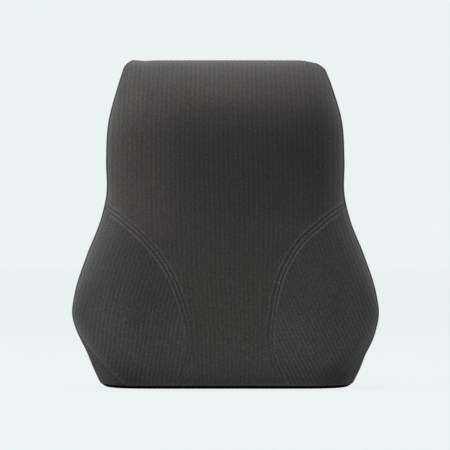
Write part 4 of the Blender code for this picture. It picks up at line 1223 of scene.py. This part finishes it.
def place(item, material, slot, *nodes):
    """Puts a piece on the cushion's body in place of the CAD nodes. The slot argument is not used."""
    dress(item.data, material)
    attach(item, "cushion")
    if nodes:
        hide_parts(*nodes)
    return item


SIDES = ((-1, "left"), (1, "right"))
place(centre_panel(), CENTRE_KNIT, "ribbed_knit", "front_center_panel")
for side, hand in SIDES:
    place(wing_panel(side, f"cover_wing_{hand}"), WING_KNIT, "ribbed_knit", f"{hand}_wing_panel")
for side, hand in SIDES:
    place(side_gusset(side, f"cover_side_{hand}"), SIDE_KNIT, "ribbed_knit", f"{hand}_side_gusset")
for part, low_z, high_z, slots, step in (("lower", BASE_SEAM_Z, ZIP_Z, (False, True), 0.0025),
                                         ("upper", ZIP_Z, TOP_SEAM_Z, (True, False), 0.003)):
    panel = back_panel(f"cover_back_{part}", low_z, high_z, *slots, step)
    place(panel, BACK_KNIT, "ribbed_knit", f"back_panel_{part}")
place(base_panel(), BASE_KNIT, "base_fabric", "bottom_panel")
for side, hand in SIDES:
    for row, offset in (("outer", ROW_OFFSET), ("inner", -ROW_OFFSET)):
        thread = topstitch(side, offset, f"topstitch_{hand}_{row}")
        place(thread, THREAD, "topstitch_thread", f"{hand}_wing_topstitch_{row}")

FOAM_DEPTH, LINER_DEPTH = 0.0050, 0.0036  # under the cover's outside
foam = place(inner_form("foam_block", FOAM_DEPTH, 0.00005), FOAM, "foam", "foam_core")
place(inner_form("liner_bag", LINER_DEPTH, 0.0001), JERSEY, "liner_jersey", "inner_liner")

TAPE_HALF_LENGTH = ZIP_HALF_LENGTH - 0.0003
TAPE_EDGES = (0.0010, 0.0107)  # off the zip's middle
TAPE_LIFT, TAPE_THICKNESS, TAPE_RIBS = -0.0013, 0.0006, 9
TAPE_RUN = np.linspace((-TAPE_HALF_LENGTH, TAPE_LIFT), (TAPE_HALF_LENGTH, TAPE_LIFT), 240)
STRAP_RIBS = 19
for up, part in ((1, "upper"), (-1, "lower")):
    edges = sorted(ZIP_Z + up * edge for edge in TAPE_EDGES)
    tape = webbing(f"zip_band_{part}", TAPE_RUN, *edges, TAPE_THICKNESS, TAPE_RIBS, 0.00008)
    place(tape, TAPE, "zip_tape", f"zip_tape_{part}")
    place(coil(up, f"zip_teeth_{part}"), NYLON, "zip_coil", f"zip_coil_{part}")
for hand, route in (("left", LEFT_ROUTE), ("right", RIGHT_ROUTE)):
    strap = webbing(f"elastic_{hand}", smooth_route(route), STRAP_LOW, STRAP_HIGH, STRAP_THICKNESS,
                    STRAP_RIBS, 0.00016)
    place(strap, ELASTIC, "elastic_webbing", f"strap_{hand}")
place(strap_stitching(), STRAP_THREAD, "topstitch_thread")
place(care_label(), SATIN, "label_satin", "care_label")
place(label_stitching(), LABEL_THREAD, "topstitch_thread")

CAD_MATERIALS = {
    STEEL: ("zip_top_stop_upper", "zip_top_stop_lower", "zip_bottom_stop"),
    BLACK_METAL: ("zip_slider_body", "zip_pull_tab"),
    PLASTIC: ("buckle_female", "buckle_male", "buckle_prong_upper", "buckle_prong_lower"),
}
for material, node_names in CAD_MATERIALS.items():
    for node_name in node_names:
        dress(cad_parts[node_name].data, material)


# ---------------------------------------------------------------- floor, light and camera

PALE = (0.823, 0.896, 0.888)
FLOOR_GLOW = 0.965
FLOOR_SIZE = 14.0


def studio():
    """A pale backdrop and floor that look alike, so that no horizon shows."""
    world = bpy.context.scene.world or bpy.data.worlds.new("studio")
    bpy.context.scene.world = world
    world.use_nodes = True
    backdrop = world.node_tree.nodes["Background"]
    backdrop.inputs["Color"].default_value = (*PALE, 1)
    backdrop.inputs["Strength"].default_value = 1.0
    half = FLOOR_SIZE / 2
    floor = new_mesh("floor", [(-half, -half, 0), (half, -half, 0), (half, half, 0), (-half, half, 0)],
                     [(0, 1, 2, 3)])
    g = Graph("floor_pale")
    g.finish((*(c * 0.02 for c in PALE), 1), 0.9, specular_ior_level=0.0, emission_strength=FLOOR_GLOW,
             emission_color=(*PALE, 1))
    floor.data.materials.append(g.material)


def softbox(name, where, aim_z, size, power):
    light = bpy.data.lights.new(name, "AREA")
    light.shape = "RECTANGLE"
    light.size, light.size_y = size
    light.energy = power
    item = bpy.data.objects.new(name, light)
    bpy.context.scene.collection.objects.link(item)
    item.location = where
    item.rotation_euler = (Vector((0, 0, aim_z)) - Vector(where)).to_track_quat("-Z", "Y").to_euler()


LENS, SENSOR = 200.0, 36.0
VIEW_WIDTH = 0.48528
CAMERA_X, CAMERA_Z = -0.0005, 0.1747


def camera():
    """A long lens, square to the front."""
    data = bpy.data.cameras.new("camera")
    data.lens, data.sensor_width = LENS, SENSOR
    item = bpy.data.objects.new("camera", data)
    bpy.context.scene.collection.objects.link(item)
    item.location = (CAMERA_X, -VIEW_WIDTH * LENS / SENSOR, CAMERA_Z)
    item.rotation_euler = (math.pi / 2, 0, 0)
    bpy.context.scene.camera = item


studio()
# Each softbox: its name, where it hangs, how high up the cushion it aims, its size and its watts.
softbox("top", (-0.1, -0.02, 1.5), 0.3, (1.0, 0.5), 22)
softbox("left", (-1.2, -0.40, 0.60), 0.2, (0.6, 0.6), 25)
softbox("right", (1.5, -0.16, 0.9), 0.2, (0.7, 0.6), 12)
camera()
bpy.context.scene.view_settings.view_transform = "Standard"
